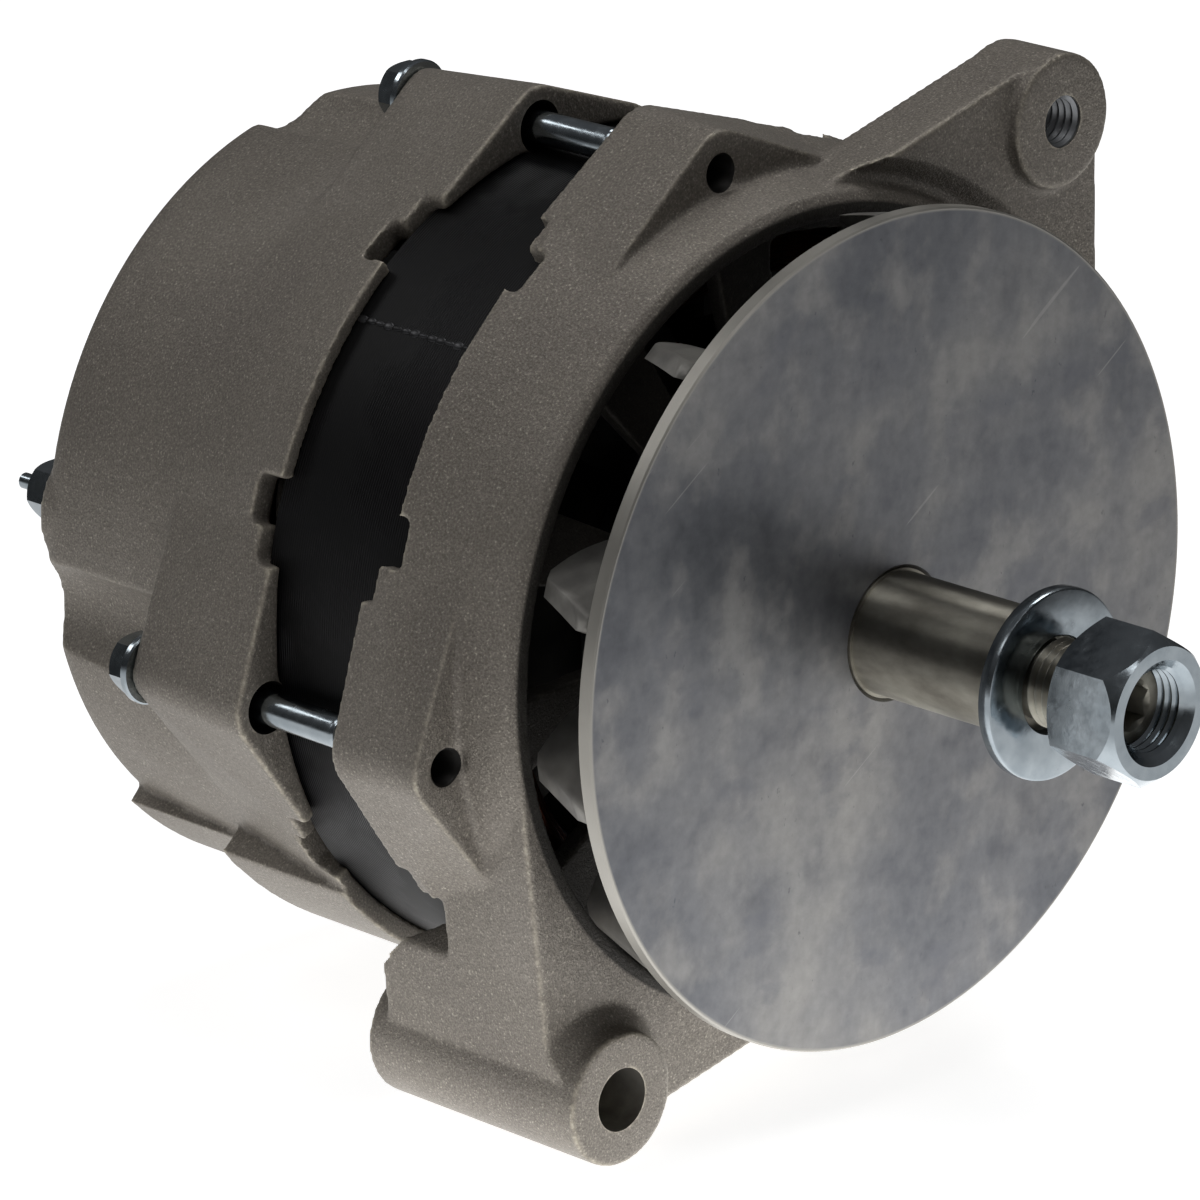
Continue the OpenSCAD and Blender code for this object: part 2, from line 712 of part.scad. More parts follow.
module rear_bearing_inner() color("#a9acae") at_rear_bearing()
    inner_race(rear_bearing_od, rear_bearing_id, rear_bearing_w, rear_ball_d);
module rear_bearing_balls() color("#cfd1d3") at_rear_bearing()
    ball_set(rear_bearing_od, rear_bearing_id, rear_ball_d, rear_balls);
module rear_bearing_cage() color("#a88a4a") at_rear_bearing()
    ball_cage(rear_bearing_od, rear_bearing_id, rear_ball_d, rear_balls);

module rotor_shaft() color("#77716a") along_shaft() difference() {
    union() {
        translate([0, 0, -nose_len - thread_len]) cylinder(r1 = thread_r - 1, r2 = thread_r, h = 1);
        translate([0, 0, 1 - nose_len - thread_len]) cylinder(r = thread_r, h = thread_len);
        translate([0, 0, -nose_len]) cylinder(r = nose_r, h = nose_len);
        cylinder(r = fan_seat_r, h = fan_hub_len);
        translate([0, 0, fan_hub_len]) cylinder(d = front_bearing_id, h = rotor_y - fan_hub_len);
        translate([0, 0, rotor_y]) cylinder(d = rotor_seat_d, h = rotor_len);
        translate([0, 0, rotor_end]) cylinder(d = ring_seat_d, h = rear_bearing_y - rotor_end);
        translate([0, 0, rear_bearing_y - 1]) cylinder(d = rear_bearing_id,
            h = shaft_end_y - rear_bearing_y + 1);
    }
    // Socket that holds the shaft while the nut is turned
    translate([0, 0, -nose_len - thread_len - cut]) hexagon(8, 8 + cut);
}

module rotor_core() color("#5c5a57") along_shaft()
    ring(20, rotor_seat_d / 2 + fit_gap, coil_y, coil_y + coil_len);

// One claw pole with its disc at z = 0 and its fingers reaching towards +Z
module claw_pole() {
    reach = rotor_len - 1.5;
    difference() {
        union() {
            cylinder(r = disc_r, h = pole_t);
            for (k = [0:fingers - 1]) rotate([0, 0, k * 360 / fingers]) intersection() {
                turned([[disc_r - 6, 0], [pole_r - 2, 0], [pole_r, 2], [pole_r, reach], [pole_r - 4, reach],
                    [pole_r - 12, pole_t], [disc_r - 6, pole_t]]);
                rotate([90, 0, 90]) linear_extrude(pole_r + 5) polygon([[-finger_root / 2, 0],
                    [finger_root / 2, 0],
                    [finger_root / 2, pole_t / 2], [finger_tip / 2, reach], [-finger_tip / 2, reach],
                    [-finger_root / 2, pole_t / 2]]);
            }
        }
        translate([0, 0, -cut]) cylinder(r = rotor_seat_d / 2 + fit_gap, h = pole_t + 2 * cut);
    }
}

module front_pole() color("#4f4d4a") along_shaft() translate([0, 0, rotor_y]) claw_pole();

module rear_pole() color("#4f4d4a") along_shaft() difference() {
    translate([0, 0, rotor_end]) rotate([0, 0, 180 / fingers]) mirror([0, 0, 1]) claw_pole();
    field_lead_paths(1.5);
}

module coil_bobbin() color("#d8d2c0") along_shaft() difference() {
    ring(disc_r - 1, 20 + fit_gap, coil_y, coil_y + coil_len);
    ring(disc_r, 21.5, coil_y + 1.2, coil_y + coil_len - 1.2);
    field_lead_paths(1.5);
}

module field_coil() color("#b5602f") along_shaft()
    ring(disc_r - 2, 21.5, coil_y + 1.2, coil_y + coil_len - 1.2);

module slip_ring_sleeve() color("#2a2522") along_shaft() difference() {
    ring(ring_d / 2 - 0.6, ring_seat_d / 2 + fit_gap, sleeve_y, sleeve_end);
    for (y = [ring_a_y, ring_b_y]) ring(ring_d / 2, ring_d / 2 - 2.5, y, y + ring_w);
}
module front_slip_ring() color("#b87333") along_shaft()
    ring(ring_d / 2, ring_d / 2 - 2.5, ring_a_y, ring_a_y + ring_w);
module rear_slip_ring() color("#b87333") along_shaft()
    ring(ring_d / 2, ring_d / 2 - 2.5, ring_b_y, ring_b_y + ring_w);

// A curved blade: its plan is an arc, its height falls from the tip to the hub
module blade() {
    centre = [blade_tip_r, 0] + blade_curve_r * [cos(270 - blade_tilt), sin(270 - blade_tilt)];
    start = 90 - blade_tilt;
    intersection() {
        translate([0, 0, fan_disc_t - 0.5]) linear_extrude(blade_reach) difference() {
            intersection() {
                translate(centre) circle(r = blade_curve_r + blade_t / 2);
                translate(centre) polygon([[0, 0], for (a = [start - 9, start + 15, start + 35, start + 58])
                    2 * blade_curve_r * [cos(a), sin(a)]]);
            }
            translate(centre) circle(r = blade_curve_r - blade_t / 2);
        }
        turned([[blade_foot_r, fan_disc_t - 0.5], [fan_r - 0.5, fan_disc_t - 0.5], [fan_r - 0.8,
            fan_disc_t + 1],
            [blade_tip_r, blade_reach - 0.8], [blade_tip_r - 1.2, blade_reach], [blade_tip_r - 6,
                blade_reach - 1.2],
            [58, blade_reach * 0.78], [48, blade_reach * 0.52], [blade_foot_r, blade_reach * 0.36]]);
    }
}

module fan() color("#8d9196") along_shaft() difference() {
    union() {
        turned([[0, 0], [fan_r - 0.3, 0], [fan_r, 0.3], [fan_r, fan_disc_t - 0.3], [fan_r - 0.3,
            fan_disc_t],
            [fan_hub_d / 2 + 3, fan_disc_t], [fan_hub_d / 2, fan_disc_t + 3], [fan_hub_d / 2,
                fan_hub_len], [0, fan_hub_len]]);
        for (k = [0:len(blade_steps) - 1]) at_angle(first_blade + sum_to(blade_steps, k)) blade();
    }
    translate([0, 0, -cut]) cylinder(r = fan_seat_r + fit_gap, h = fan_hub_len + 2 * cut);
    translate([0, 0, -0.01]) cylinder(r1 = fan_seat_r + 0.9, r2 = fan_seat_r, h = 0.9);
}

module fan_spacer() color("#8f8b84") along_shaft()
    ring(spacer_r, front_bearing_id / 2 + fit_gap, fan_hub_len, front_bearing_y);

module front_bearing_seals() color("#2b2b2c") along_shaft() {
    mid = (front_bearing_od + front_bearing_id) / 4;
    for (y = [front_bearing_y + 0.5, front_bearing_end - 1.3])
        ring(mid + front_ball_d * 0.28, mid - front_ball_d * 0.28 + 0.4, y, y + 0.8);
}

module pulley_washer() color("#aab4bb") along_shaft() translate([0, washer_drop, 0])
    ring(washer_d / 2, thread_r + 0.55, washer_y, washer_y + washer_t);

module pulley_nut() color("#c9ccce") along_shaft() translate([0, 0, nut_y]) difference() {
    rotate([0, 0, 4]) chamfered_hexagon(nut_af, nut_t, nut_t / 5);
    translate([0, 0, -cut]) cylinder(r = thread_r + fit_gap, h = nut_t + 2 * cut);
    translate([0, 0, -0.01]) cylinder(r1 = thread_r + 1.3, r2 = thread_r, h = 1.3);
    translate([0, 0, nut_t - 1]) cylinder(r1 = thread_r, r2 = thread_r + 1, h = 1.01);
}

// Centre of each slip ring along the shaft
front_brush_y = ring_a_y + ring_w / 2;
rear_brush_y = ring_b_y + ring_w / 2;
module brush(y) {
    difference() {
        translate([-brush_b / 2, y - brush_w / 2, 0]) cube([brush_b, brush_w, brush_top]);
        translate([0, y, 0]) rotate([90, 0, 0]) cylinder(r = ring_d / 2 + 0.3, h = 3 * brush_w,
            center = true);
    }
}
module front_brush() color("#2e2b2b") brush(front_brush_y);
module rear_brush() color("#2e2b2b") brush(rear_brush_y);

// Coil spring as a swept helix, from z = 0 up to its length
module coil_spring(r, wire, length, turns) {
    sides = 6;
    rings = turns * 12;
    ring_points = [for (i = [0:rings]) let (a = i * 30, z = wire + (length - 2 * wire) * i / rings)
        for (j = [0:sides - 1]) let (b = j * 360 / sides)
            [(r + wire * cos(b)) * cos(a), (r + wire * cos(b)) * sin(a), z + wire * sin(b)]];
    side_faces = [for (i = [0:rings - 1], j = [0:sides - 1]) let (n = (j + 1) % sides)
        [i * sides + j, (i + 1) * sides + j, (i + 1) * sides + n, i * sides + n]];
    cap_faces = [[for (j = [0:sides - 1]) j], [for (j = [0:sides - 1]) rings * sides + sides - 1 - j]];
    polyhedron(ring_points, concat(side_faces, cap_faces), convexity = 8);
}
module brush_spring(y) {
    translate([0, y, brush_top + 0.1]) coil_spring(2, 0.4, spring_len - 0.2, 5);
}
module front_brush_spring() color("#b9bcbe") brush_spring(front_brush_y);
module rear_brush_spring() color("#b9bcbe") brush_spring(rear_brush_y);

module brush_holder() color("#20201f") {
    wall = holder_wall;
    gap = 0.3;
    block_b = brush_b + 2 * wall + 2 * gap;
    y0 = front_brush_y - brush_w / 2 - gap - wall;
    y1 = rear_brush_y + brush_w / 2 + gap + wall;
    z0 = ring_d / 2 + 3;
    arm_t = holder_arm;
    difference() {
        union() {
            translate([-block_b / 2, y0, z0]) cube([block_b, y1 - y0, holder_top - z0]);
            translate([-block_b / 2, y1 - 1, holder_top - arm_t]) cube([block_b,
                rear_end_y - rear_wall - y1 + 1, arm_t]);
        }
        for (y = [front_brush_y, rear_brush_y]) translate([-brush_b / 2 - gap, y - brush_w / 2 - gap,
            z0 - cut])
            cube([brush_b + 2 * gap, brush_w + 2 * gap, holder_top - holder_roof - z0 + cut]);
    }
}

module positive_heat_sink() color("#93979a") along_shaft() difference() {
    union() {
        translate([0, 0, sink_y]) linear_extrude(sink_t) sector(rear_housing_r + 4, rear_end_r - 7.5, 124,
            222);
        for (a = [128, 150, 190, 214]) at_angle(a) translate([rear_housing_r + 8, -fin_t / 2,
            sink_y - fin_h]) cube([fin_len, fin_t, fin_h + 1]);
    }
    for (a = positive_angles) at_angle(a) translate([diode_ring_r, 0, sink_y - cut])
        cylinder(r = diode_r + fit_gap, h = sink_t + 2 * cut);
    translate([stud_pos[0], -stud_pos[1], sink_y - cut]) cylinder(r = stud_d / 2 + fit_gap,
        h = sink_t + 2 * cut);
}

positive_angles = [140, 160, 204];
negative_angles = [-38, -4, 30];

module negative_heat_sink() color("#93979a") along_shaft() difference() {
    union() {
        translate([0, 0, ground_y]) linear_extrude(ground_t) sector(rear_housing_r + 4, rear_end_r - 7.5,
            -56, 48);
        for (a = [-48, 13, 40]) at_angle(a) translate([rear_end_r - 12, 0, ground_y]) cylinder(r = 4,
            h = ground_t + stand_off);
    }
    for (a = negative_angles) at_angle(a) translate([diode_ring_r, 0, ground_y - cut])
        cylinder(r = diode_r + fit_gap, h = ground_t + 2 * cut);
}

// Pressed-in diode: a can with a tapered seal and a lead that reaches its phase lead
module diode(y, lead_y) {
    translate([diode_ring_r, 0, 0]) {
        translate([0, 0, y]) cylinder(r = diode_r, h = diode_can);
        translate([0, 0, y - 2]) cylinder(r1 = diode_r - 2.2, r2 = diode_r - 1, h = 2.01);
        translate([0, 0, lead_y]) cylinder(r = diode_lead_r, h = y - 1.5 - lead_y);
    }
}
module positive_diodes() color("#5d5f61") along_shaft() for (k = [0:2]) at_angle(positive_angles[k])
    diode(sink_y - 0.5, phase_y + k * phase_step + phase_t);
module negative_diodes() color("#5d5f61") along_shaft() for (k = [0:2]) at_angle(negative_angles[k])
    diode(ground_y - 0.5, phase_y + k * phase_step + phase_t);

// Three phase leads: each runs from the winding to a strap that joins two diodes
phase_t = 1.5;
phase_step = 3.5;
phase_y = sink_y - 20;
phase_r = 56;
module phase_leads() color("#b87333") along_shaft() for (k = [0:2]) {
    y = phase_y + k * phase_step;
    wire_angle = 70 + 20 * k;
    translate([0, 0, y]) linear_extrude(phase_t) {
        sector(phase_r, phase_r + lead_w, negative_angles[k], positive_angles[k]);
        for (a = [negative_angles[k], positive_angles[k]]) rotate(-a)
            translate([diode_ring_r - lead_w / 2, -lead_w / 2]) square([phase_r - diode_ring_r + lead_w,
                lead_w]);
        rotate(-wire_angle) translate([phase_r + 1, -lead_w / 2]) square([2 * lead_w - 0.8, lead_w]);
    }
    at_angle(wire_angle) translate([phase_r + 7, 0, stack_end + end_turn]) cylinder(r = 1.2,
        h = y - stack_end - end_turn + 0.5);
}

// Field leads: from the coil through the rear pole to the slip-ring sleeve
lead_r = 26;
module field_lead_paths(r) {
    for (a = [15, 195]) at_angle(a) {
        translate([lead_r, 0, coil_y + coil_len - 1.2]) cylinder(r = r, h = pole_t + 5.2);
        children();
    }
}
module field_leads() color("#b5602f") along_shaft() field_lead_paths(1) {
    translate([ring_seat_d / 2 + 2.5, -1, rotor_end + 2]) cube([lead_r - ring_seat_d / 2 - 2.5, 2, 2]);
    translate([ring_seat_d / 2 + 2.5, 0, rotor_end + 2]) cylinder(r = 1, h = sleeve_y - rotor_end - 2);
}

module voltage_regulator() color("#26282a") along_shaft() at_angle(270) {
    difference() {
        translate([rear_housing_r + 5, -regulator_w / 2, rear_end_y - rear_wall - regulator_len])
            cube([regulator_h, regulator_w, regulator_len]);
        for (k = [-2.5:2.5]) translate([rear_housing_r + 4, (k - 0.25) * groove_step,
            rear_end_y - rear_wall - regulator_len - cut])
            cube([regulator_h + 2, groove_step / 2, groove_step + cut]);
    }
}

module capacitor() color("#9a9da0") along_shaft() at_angle(68) translate([capacitor_r, 0,
    rear_end_y - rear_wall - capacitor_len]) {
    translate([0, 0, 1]) cylinder(d = capacitor_d, h = capacitor_len - 1);
    cylinder(d = capacitor_d - 3, h = 2);
}

module output_stud() color("#c0c3c5") along_shaft() translate([stud_pos[0], -stud_pos[1], 0]) {
    translate([0, 0, sink_y - 4]) cylinder(r = 6, h = 4);
    translate([0, 0, sink_y - 0.5]) cylinder(d = stud_d, h = rear_end_y + 15 - sink_y);
    translate([0, 0, rear_end_y + 14]) cylinder(d = stud_d / 2, h = 4.5);
}

module stud_insulator() color("#161616") along_shaft() translate([stud_pos[0], -stud_pos[1], 0]) {
    ring(stud_d / 2 + 2, stud_d / 2 + fit_gap, sink_y + sink_t, rear_end_y + 0.5);
    ring(stud_d / 2 + 4.2, stud_d / 2 + fit_gap, rear_end_y, rear_end_y + 2.2);
}

module terminal_washers() color("#c3c6c8") along_shaft() translate([stud_pos[0], -stud_pos[1],
    rear_end_y + 2.2]) {
    ring(stud_d / 2 + 3.6, stud_d / 2 + 0.2, 0, 1.2);
    ring(stud_d / 2 + 2.6, stud_d / 2 + 0.2, 1.2, 2.7);
}

module terminal_nut() color("#b4b8ba") along_shaft() translate([stud_pos[0], -stud_pos[1],
    rear_end_y + 4.9])
    difference() {
        rotate([0, 0, 20]) chamfered_hexagon(stud_af, 7);
        translate([0, 0, -cut]) cylinder(r = stud_d / 2 + fit_gap, h = 7 + 2 * cut);
    }

drive_end_frame();
rear_frame();
stator_core();
stator_windings();
through_bolts();
bolt_washers();
bearing_retainer();
retainer_screws();
front_bearing_outer();
front_bearing_inner();
front_bearing_balls();
front_bearing_cage();
front_bearing_seals();
rear_bearing_outer();
rear_bearing_inner();
rear_bearing_balls();
rear_bearing_cage();
rotor_shaft();
rotor_core();
front_pole();
rear_pole();
coil_bobbin();
field_coil();
slip_ring_sleeve();
front_slip_ring();
rear_slip_ring();
fan();
fan_spacer();
pulley_washer();
pulley_nut();
brush_holder();
front_brush();
rear_brush();
front_brush_spring();
rear_brush_spring();
positive_heat_sink();
negative_heat_sink();
positive_diodes();
negative_diodes();
phase_leads();
field_leads();
voltage_regulator();
capacitor();
output_stud();
stud_insulator();
terminal_washers();
terminal_nut();
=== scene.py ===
import bpy
import json
import math
from mathutils import Matrix, Vector


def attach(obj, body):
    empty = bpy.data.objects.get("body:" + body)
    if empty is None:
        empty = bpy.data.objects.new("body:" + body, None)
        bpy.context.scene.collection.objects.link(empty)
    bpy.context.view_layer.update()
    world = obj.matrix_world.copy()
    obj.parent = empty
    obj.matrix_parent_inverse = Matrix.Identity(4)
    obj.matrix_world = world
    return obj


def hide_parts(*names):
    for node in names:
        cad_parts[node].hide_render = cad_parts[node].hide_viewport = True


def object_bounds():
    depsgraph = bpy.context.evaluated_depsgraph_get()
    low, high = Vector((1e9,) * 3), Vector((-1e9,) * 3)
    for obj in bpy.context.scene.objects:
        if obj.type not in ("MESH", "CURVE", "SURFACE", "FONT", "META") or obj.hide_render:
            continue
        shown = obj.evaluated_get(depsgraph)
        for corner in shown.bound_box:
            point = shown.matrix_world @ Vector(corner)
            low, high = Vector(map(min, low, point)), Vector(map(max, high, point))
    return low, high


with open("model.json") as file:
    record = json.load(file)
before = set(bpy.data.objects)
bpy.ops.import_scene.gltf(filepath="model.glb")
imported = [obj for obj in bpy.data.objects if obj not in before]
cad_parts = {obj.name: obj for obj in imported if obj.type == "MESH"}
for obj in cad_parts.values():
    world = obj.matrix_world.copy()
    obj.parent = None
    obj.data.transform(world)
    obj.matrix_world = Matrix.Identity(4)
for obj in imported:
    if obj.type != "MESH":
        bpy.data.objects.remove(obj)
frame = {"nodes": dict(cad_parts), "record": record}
cad_low, cad_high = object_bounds()
nodes = frame["nodes"]
MM = 0.001

# Sizes in millimetres. A station is a distance along the shaft, behind the fan's front face.
STACK_RADIUS = 76.0
FAN_RADIUS = 75.1
DISC_THICK = 3.0
# The drive-end ring's front face behind the fan, darkened with painted shade, starts at this station, inside
# this radius.
RECESS_RADIUS = 72.6
RECESS_FRONT = 19.0
# Distance between laminations, wires and tool lines, as coarse as the render needs to show them: real sheets
# are about 0.5 mm thick, and real tool lines finer.
SHEET_PITCH = 0.55
WIRE_PITCH = 1.2
TOOL_PITCH = 0.7
# Pitch of a 16 per inch thread and of M6.
INCH_PITCH = 25.4 / 16
METRIC_PITCH = 1.0


# Materials

def colour(code):
    """An sRGB hex code as a linear colour."""
    parts = [int(code[i:i + 2], 16) / 255 for i in (1, 3, 5)]
    linear = [p / 12.92 if p <= 0.04045 else ((p + 0.055) / 1.055) ** 2.4 for p in parts]
    return (*linear, 1.0)


def feed(tree, node, inputs):
    """Sets a node's inputs, by key or in order; each is a socket to link, a plain value or a hex colour."""
    pairs = inputs.items() if isinstance(inputs, dict) else enumerate(inputs)
    for key, value in pairs:
        if isinstance(value, bpy.types.NodeSocket):
            tree.links.new(value, node.inputs[key])
        else:
            node.inputs[key].default_value = colour(value) if isinstance(value, str) else value


def add(tree, kind, inputs=(), out=0, stops=(), **settings):
    """Adds one node with its settings, inputs and a ramp's (position, hex colour) stops; gives an output."""
    node = tree.nodes.new("ShaderNode" + kind)
    for key, value in settings.items():
        setattr(node, key, value)
    feed(tree, node, inputs)
    for index, (position, code) in enumerate(stops):
        cells = node.color_ramp.elements
        cell = cells[index] if index < len(cells) else cells.new(position)
        cell.position = position
        cell.color = colour(code)
    return node.outputs[out] if node.outputs else node


def start(name, **shader):
    """A new material: its tree, its Principled shader and the place on the piece in millimetres."""
    mat = bpy.data.materials.new(name)
    mat.use_nodes = True
    tree = mat.node_tree
    tree.nodes.clear()
    surface = add(tree, "BsdfPrincipled", {key.replace("_", " "): value for key, value in shader.items()})
    add(tree, "OutputMaterial", {"Surface": surface})
    metres = add(tree, "TexCoord", out="Object")
    place = add(tree, "VectorMath", {0: metres, "Scale": 1 / MM}, operation="SCALE")
    return mat, tree, surface.node, place


def spots(tree, place, size_mm, detail=3.0, rough=0.5, stretch=(1, 1, 1)):
    """A fractal pattern whose largest spots are about size_mm across."""
    moved = add(tree, "Mapping", {"Vector": place, "Scale": stretch})
    return add(tree, "TexNoise", {"Vector": moved, "Scale": 1 / size_mm, "Detail": detail,
                                  "Roughness": rough})


def waves(tree, length, pitch_mm):
    """A sine wave over a length in millimetres."""
    angle = add(tree, "Math", [length, 2 * math.pi / pitch_mm], operation="MULTIPLY")
    return add(tree, "Math", [angle], operation="SINE")


def coats(tree, base, *layers):
    """Lays colours over a base one by one; each layer is how much of it, its colour and how it mixes."""
    for share, tone, *mode in layers:
        base = add(tree, "Mix", {0: share, 6: base, 7: tone}, out=2, data_type="RGBA",
                   blend_type=mode[0] if mode else "MIX")
    return base


def radius(tree, place):
    """Distance from the shaft's axis, in millimetres."""
    across = add(tree, "VectorMath", [place, (1, 0, 1)], operation="MULTIPLY")
    return add(tree, "VectorMath", [across], out="Value", operation="LENGTH")


def dress(tree, bsdf, base, height, depth_mm, strength, **others):
    """Gives a shader its colour, a relief of this depth and its other patterned inputs."""
    relief = add(tree, "Bump", {"Height": height, "Distance": depth_mm * MM, "Strength": strength})
    feed(tree, bsdf, {"Base Color": base, "Normal": relief, **others})


def blasted_casting():
    """Sand-cast aluminium, shot blasted: warm grey with fine pits and bright painted glints, its edges rubbed
    bright.
    The ring's front face behind the fan is darkened with painted shade, fading out towards the rear."""
    mat, tree, bsdf, place = start("shot_blasted_sand_cast_aluminium", Metallic=0.5)
    cloud = spots(tree, place, 30, 5, 0.55)
    grit = spots(tree, place, 0.42, 3, 0.65)
    base = add(tree, "ValToRGB", [cloud], stops=[(0.3, "#78726b"), (0.5, "#847e75"), (0.7, "#918b83")])
    grains = add(tree, "ValToRGB", [grit], stops=[(0.34, "#544f48"), (0.5, "#817a72"), (0.68, "#aca69b")])
    # Painted glints: bright specks of colour that stand in for light sparkling off the blasted grains.
    painted_glint = add(tree, "MapRange", [spots(tree, place, 0.42, 1, 0.5), 0.67, 0.76, 0.0, 0.55])
    curve = add(tree, "NewGeometry", out="Pointiness")
    scuff = add(tree, "MapRange", [spots(tree, place, 1.6, 4, 0.6), 0.36, 0.62, 0.15, 1.0])
    edge = add(tree, "MapRange", [curve, 0.512, 0.57], interpolation_type="SMOOTHSTEP")
    worn = add(tree, "Math", [edge, scuff], operation="MULTIPLY")
    rubbed = add(tree, "Math", [worn, 0.75], operation="MULTIPLY")
    # Painted shade: hollows and creases, where pointiness is low, are darkened.
    corner = add(tree, "MapRange", [curve, 0.49, 0.44, 0.0, 0.45])
    y = add(tree, "SeparateXYZ", [place], out="Y")
    # Painted shade: the ring's front face inside the fan's rim is darkened to near black, fading out towards
    # the rear.
    inside = add(tree, "MapRange", [radius(tree, place), RECESS_RADIUS, RECESS_RADIUS - 0.6])
    behind_rim = add(tree, "MapRange", [y, RECESS_FRONT, RECESS_FRONT + 1])
    fading = add(tree, "MapRange", [y, 100, 70, 0.0, 0.85])
    recess = add(tree, "Math", [inside, behind_rim], operation="MULTIPLY")
    painted_shade = add(tree, "Math", [recess, fading], operation="MULTIPLY")
    base = coats(tree, base, (0.5, grains), (painted_glint, "#cfc8b8"), (rubbed, "#d6cdb9"), (corner, "#3d3934"),
                 (painted_shade, "#1b1a18"))
    rough = add(tree, "MapRange", [worn, 0.0, 1.0, 0.52, 0.4])
    swells = add(tree, "Math", [spots(tree, place, 2.2, 2), 0.5], operation="MULTIPLY")
    pits = add(tree, "Math", [grit, 0.6, swells], operation="MULTIPLY_ADD")
    dress(tree, bsdf, base, pits, 0.35, 0.85, Roughness=rough)
    return mat


def laminations():
    """Stack of black varnished sheets: their edges show as fine lines, clearer where the varnish is thin."""
    mat, tree, bsdf, place = start("varnished_lamination_stack", Metallic=0.1, Specular_IOR_Level=0.22)
    line = waves(tree, add(tree, "SeparateXYZ", [place], out="Y"), SHEET_PITCH)
    patch = add(tree, "MapRange", [spots(tree, place, 16, 3), 0.42, 0.62, 0.12, 1.0],
                interpolation_type="SMOOTHSTEP")
    edge = add(tree, "Math", [add(tree, "MapRange", [line, 0.2, 1.0]), patch], operation="MULTIPLY")
    base = coats(tree, "#050506", (edge, "#232325"))
    ridges = add(tree, "Math", [line, patch], operation="MULTIPLY")
    rough = add(tree, "MapRange", [patch, 0.0, 1.0, 0.58, 0.4])
    dress(tree, bsdf, base, ridges, 0.06, 0.8, Roughness=rough)
    return mat


def stained_plate():
    """Fan of cast aluminium plate. The turned front face is stained in grey clouds, flakes and flecks and
    has a few scratches; its rim is bright, and the blades behind are as cast."""
    mat, tree, bsdf, place = start("stained_turned_fan_plate", Metallic=0.75)
    y = add(tree, "SeparateXYZ", [place], out="Y")
    r = radius(tree, place)
    clouds = spots(tree, place, 45, 3, 0.45)
    face = add(tree, "ValToRGB", [clouds], stops=[(0.32, "#6c6e73"), (0.5, "#7f8083"), (0.68, "#949392")])
    flakes = spots(tree, place, 15, 6, 0.52, (1, 1, 0.85))
    light = add(tree, "MapRange", [flakes, 0.47, 0.66, 0.0, 0.55], interpolation_type="SMOOTHSTEP")
    dark = add(tree, "MapRange", [flakes, 0.48, 0.32, 0.0, 0.55], interpolation_type="SMOOTHSTEP")
    mottle = spots(tree, place, 2.8, 5, 0.6)
    mottle = add(tree, "ValToRGB", [mottle], stops=[(0.3, "#565658"), (0.7, "#aaaaa8")])
    stains = add(tree, "MapRange", [spots(tree, place, 21, 6, 0.6, (1, 1, 1.5)), 0.55, 0.68, 0.0, 0.45],
                 interpolation_type="SMOOTHSTEP")
    fleck = add(tree, "MapRange", [spots(tree, place, 1.4, 3, 0.6, (1, 1, 0.6)), 0.65, 0.71])
    fleck_patch = add(tree, "MapRange", [spots(tree, place, 15, 2), 0.48, 0.6, 0.0, 0.6])
    flecks = add(tree, "Math", [fleck, fleck_patch], operation="MULTIPLY")
    slanted = add(tree, "Mapping", {"Vector": place, "Rotation": (0, math.radians(35), 0)})
    scratch = add(tree, "MapRange", [spots(tree, slanted, 5, 2, 0.4, (0.12, 1, 3.0)), 0.74, 0.755, 0.0, 0.25])
    rim = add(tree, "MapRange", [r, FAN_RADIUS - 0.8, FAN_RADIUS - 0.3])
    face = coats(tree, face, (light, "#acaaa7"), (dark, "#5b5d63"), (0.45, mottle, "SOFT_LIGHT"),
                 (stains, "#63656c"), (flecks, "#4a4c52"), (scratch, "#c3c1bd"), (rim, "#a9a69f"))
    cast = spots(tree, place, 6, 4, 0.5)
    cast = add(tree, "ValToRGB", [cast], stops=[(0.35, "#797774"), (0.65, "#93918c")])
    disc = add(tree, "MapRange", [y, DISC_THICK + 0.2, DISC_THICK - 0.1])
    rim_band = add(tree, "Math", [rim, disc], operation="MULTIPLY")
    off_rim = add(tree, "Math", [1.0, rim_band], operation="SUBTRACT")
    behind = add(tree, "MapRange", [y, 0.05, 0.3])
    back = add(tree, "Math", [behind, off_rim], operation="MULTIPLY")
    front = add(tree, "Math", [1.0, back], operation="SUBTRACT")
    rough = add(tree, "MapRange", [flakes, 0.35, 0.62, 0.36, 0.5])
    cast_rough = add(tree, "Math", [back, 0.5], operation="MULTIPLY")
    rough = add(tree, "Math", [rough, cast_rough], operation="MAXIMUM")
    turning = add(tree, "Math", [waves(tree, r, TOOL_PITCH), 0.04], operation="MULTIPLY")
    turning = add(tree, "Math", [flakes, 1.2, turning], operation="MULTIPLY_ADD")
    grain = add(tree, "Math", [spots(tree, place, 0.5, 2), 0.8], operation="MULTIPLY")
    grain = add(tree, "Math", [grain, back], operation="MULTIPLY")
    height = add(tree, "Math", [turning, front, grain], operation="MULTIPLY_ADD")
    dress(tree, bsdf, coats(tree, face, (back, cast)), height, 0.05, 0.5, Roughness=rough)
    return mat


def turned_steel():
    """Turned steel with an oil film: fine tool lines around the shaft, which draw its shine out along it,
    and brown stains."""
    mat, tree, bsdf, place = start("turned_oiled_steel", Metallic=1.0, Anisotropic=0.9,
                                   Anisotropic_Rotation=0.25)
    stain = spots(tree, place, 7, 5, 0.6, (1, 0.5, 1))
    base = add(tree, "ValToRGB", [stain], stops=[(0.3, "#78746b"), (0.55, "#97948a"), (0.75, "#afaca0")])
    rough = add(tree, "MapRange", [stain, 0.3, 0.7, 0.35, 0.43])
    around = add(tree, "Tangent", direction_type="RADIAL", axis="Y")
    lines = spots(tree, place, 0.5, 2, 0.5, (0.02, 1, 0.02))
    dress(tree, bsdf, base, lines, 0.02, 0.6, Roughness=rough, Tangent=around)
    return mat


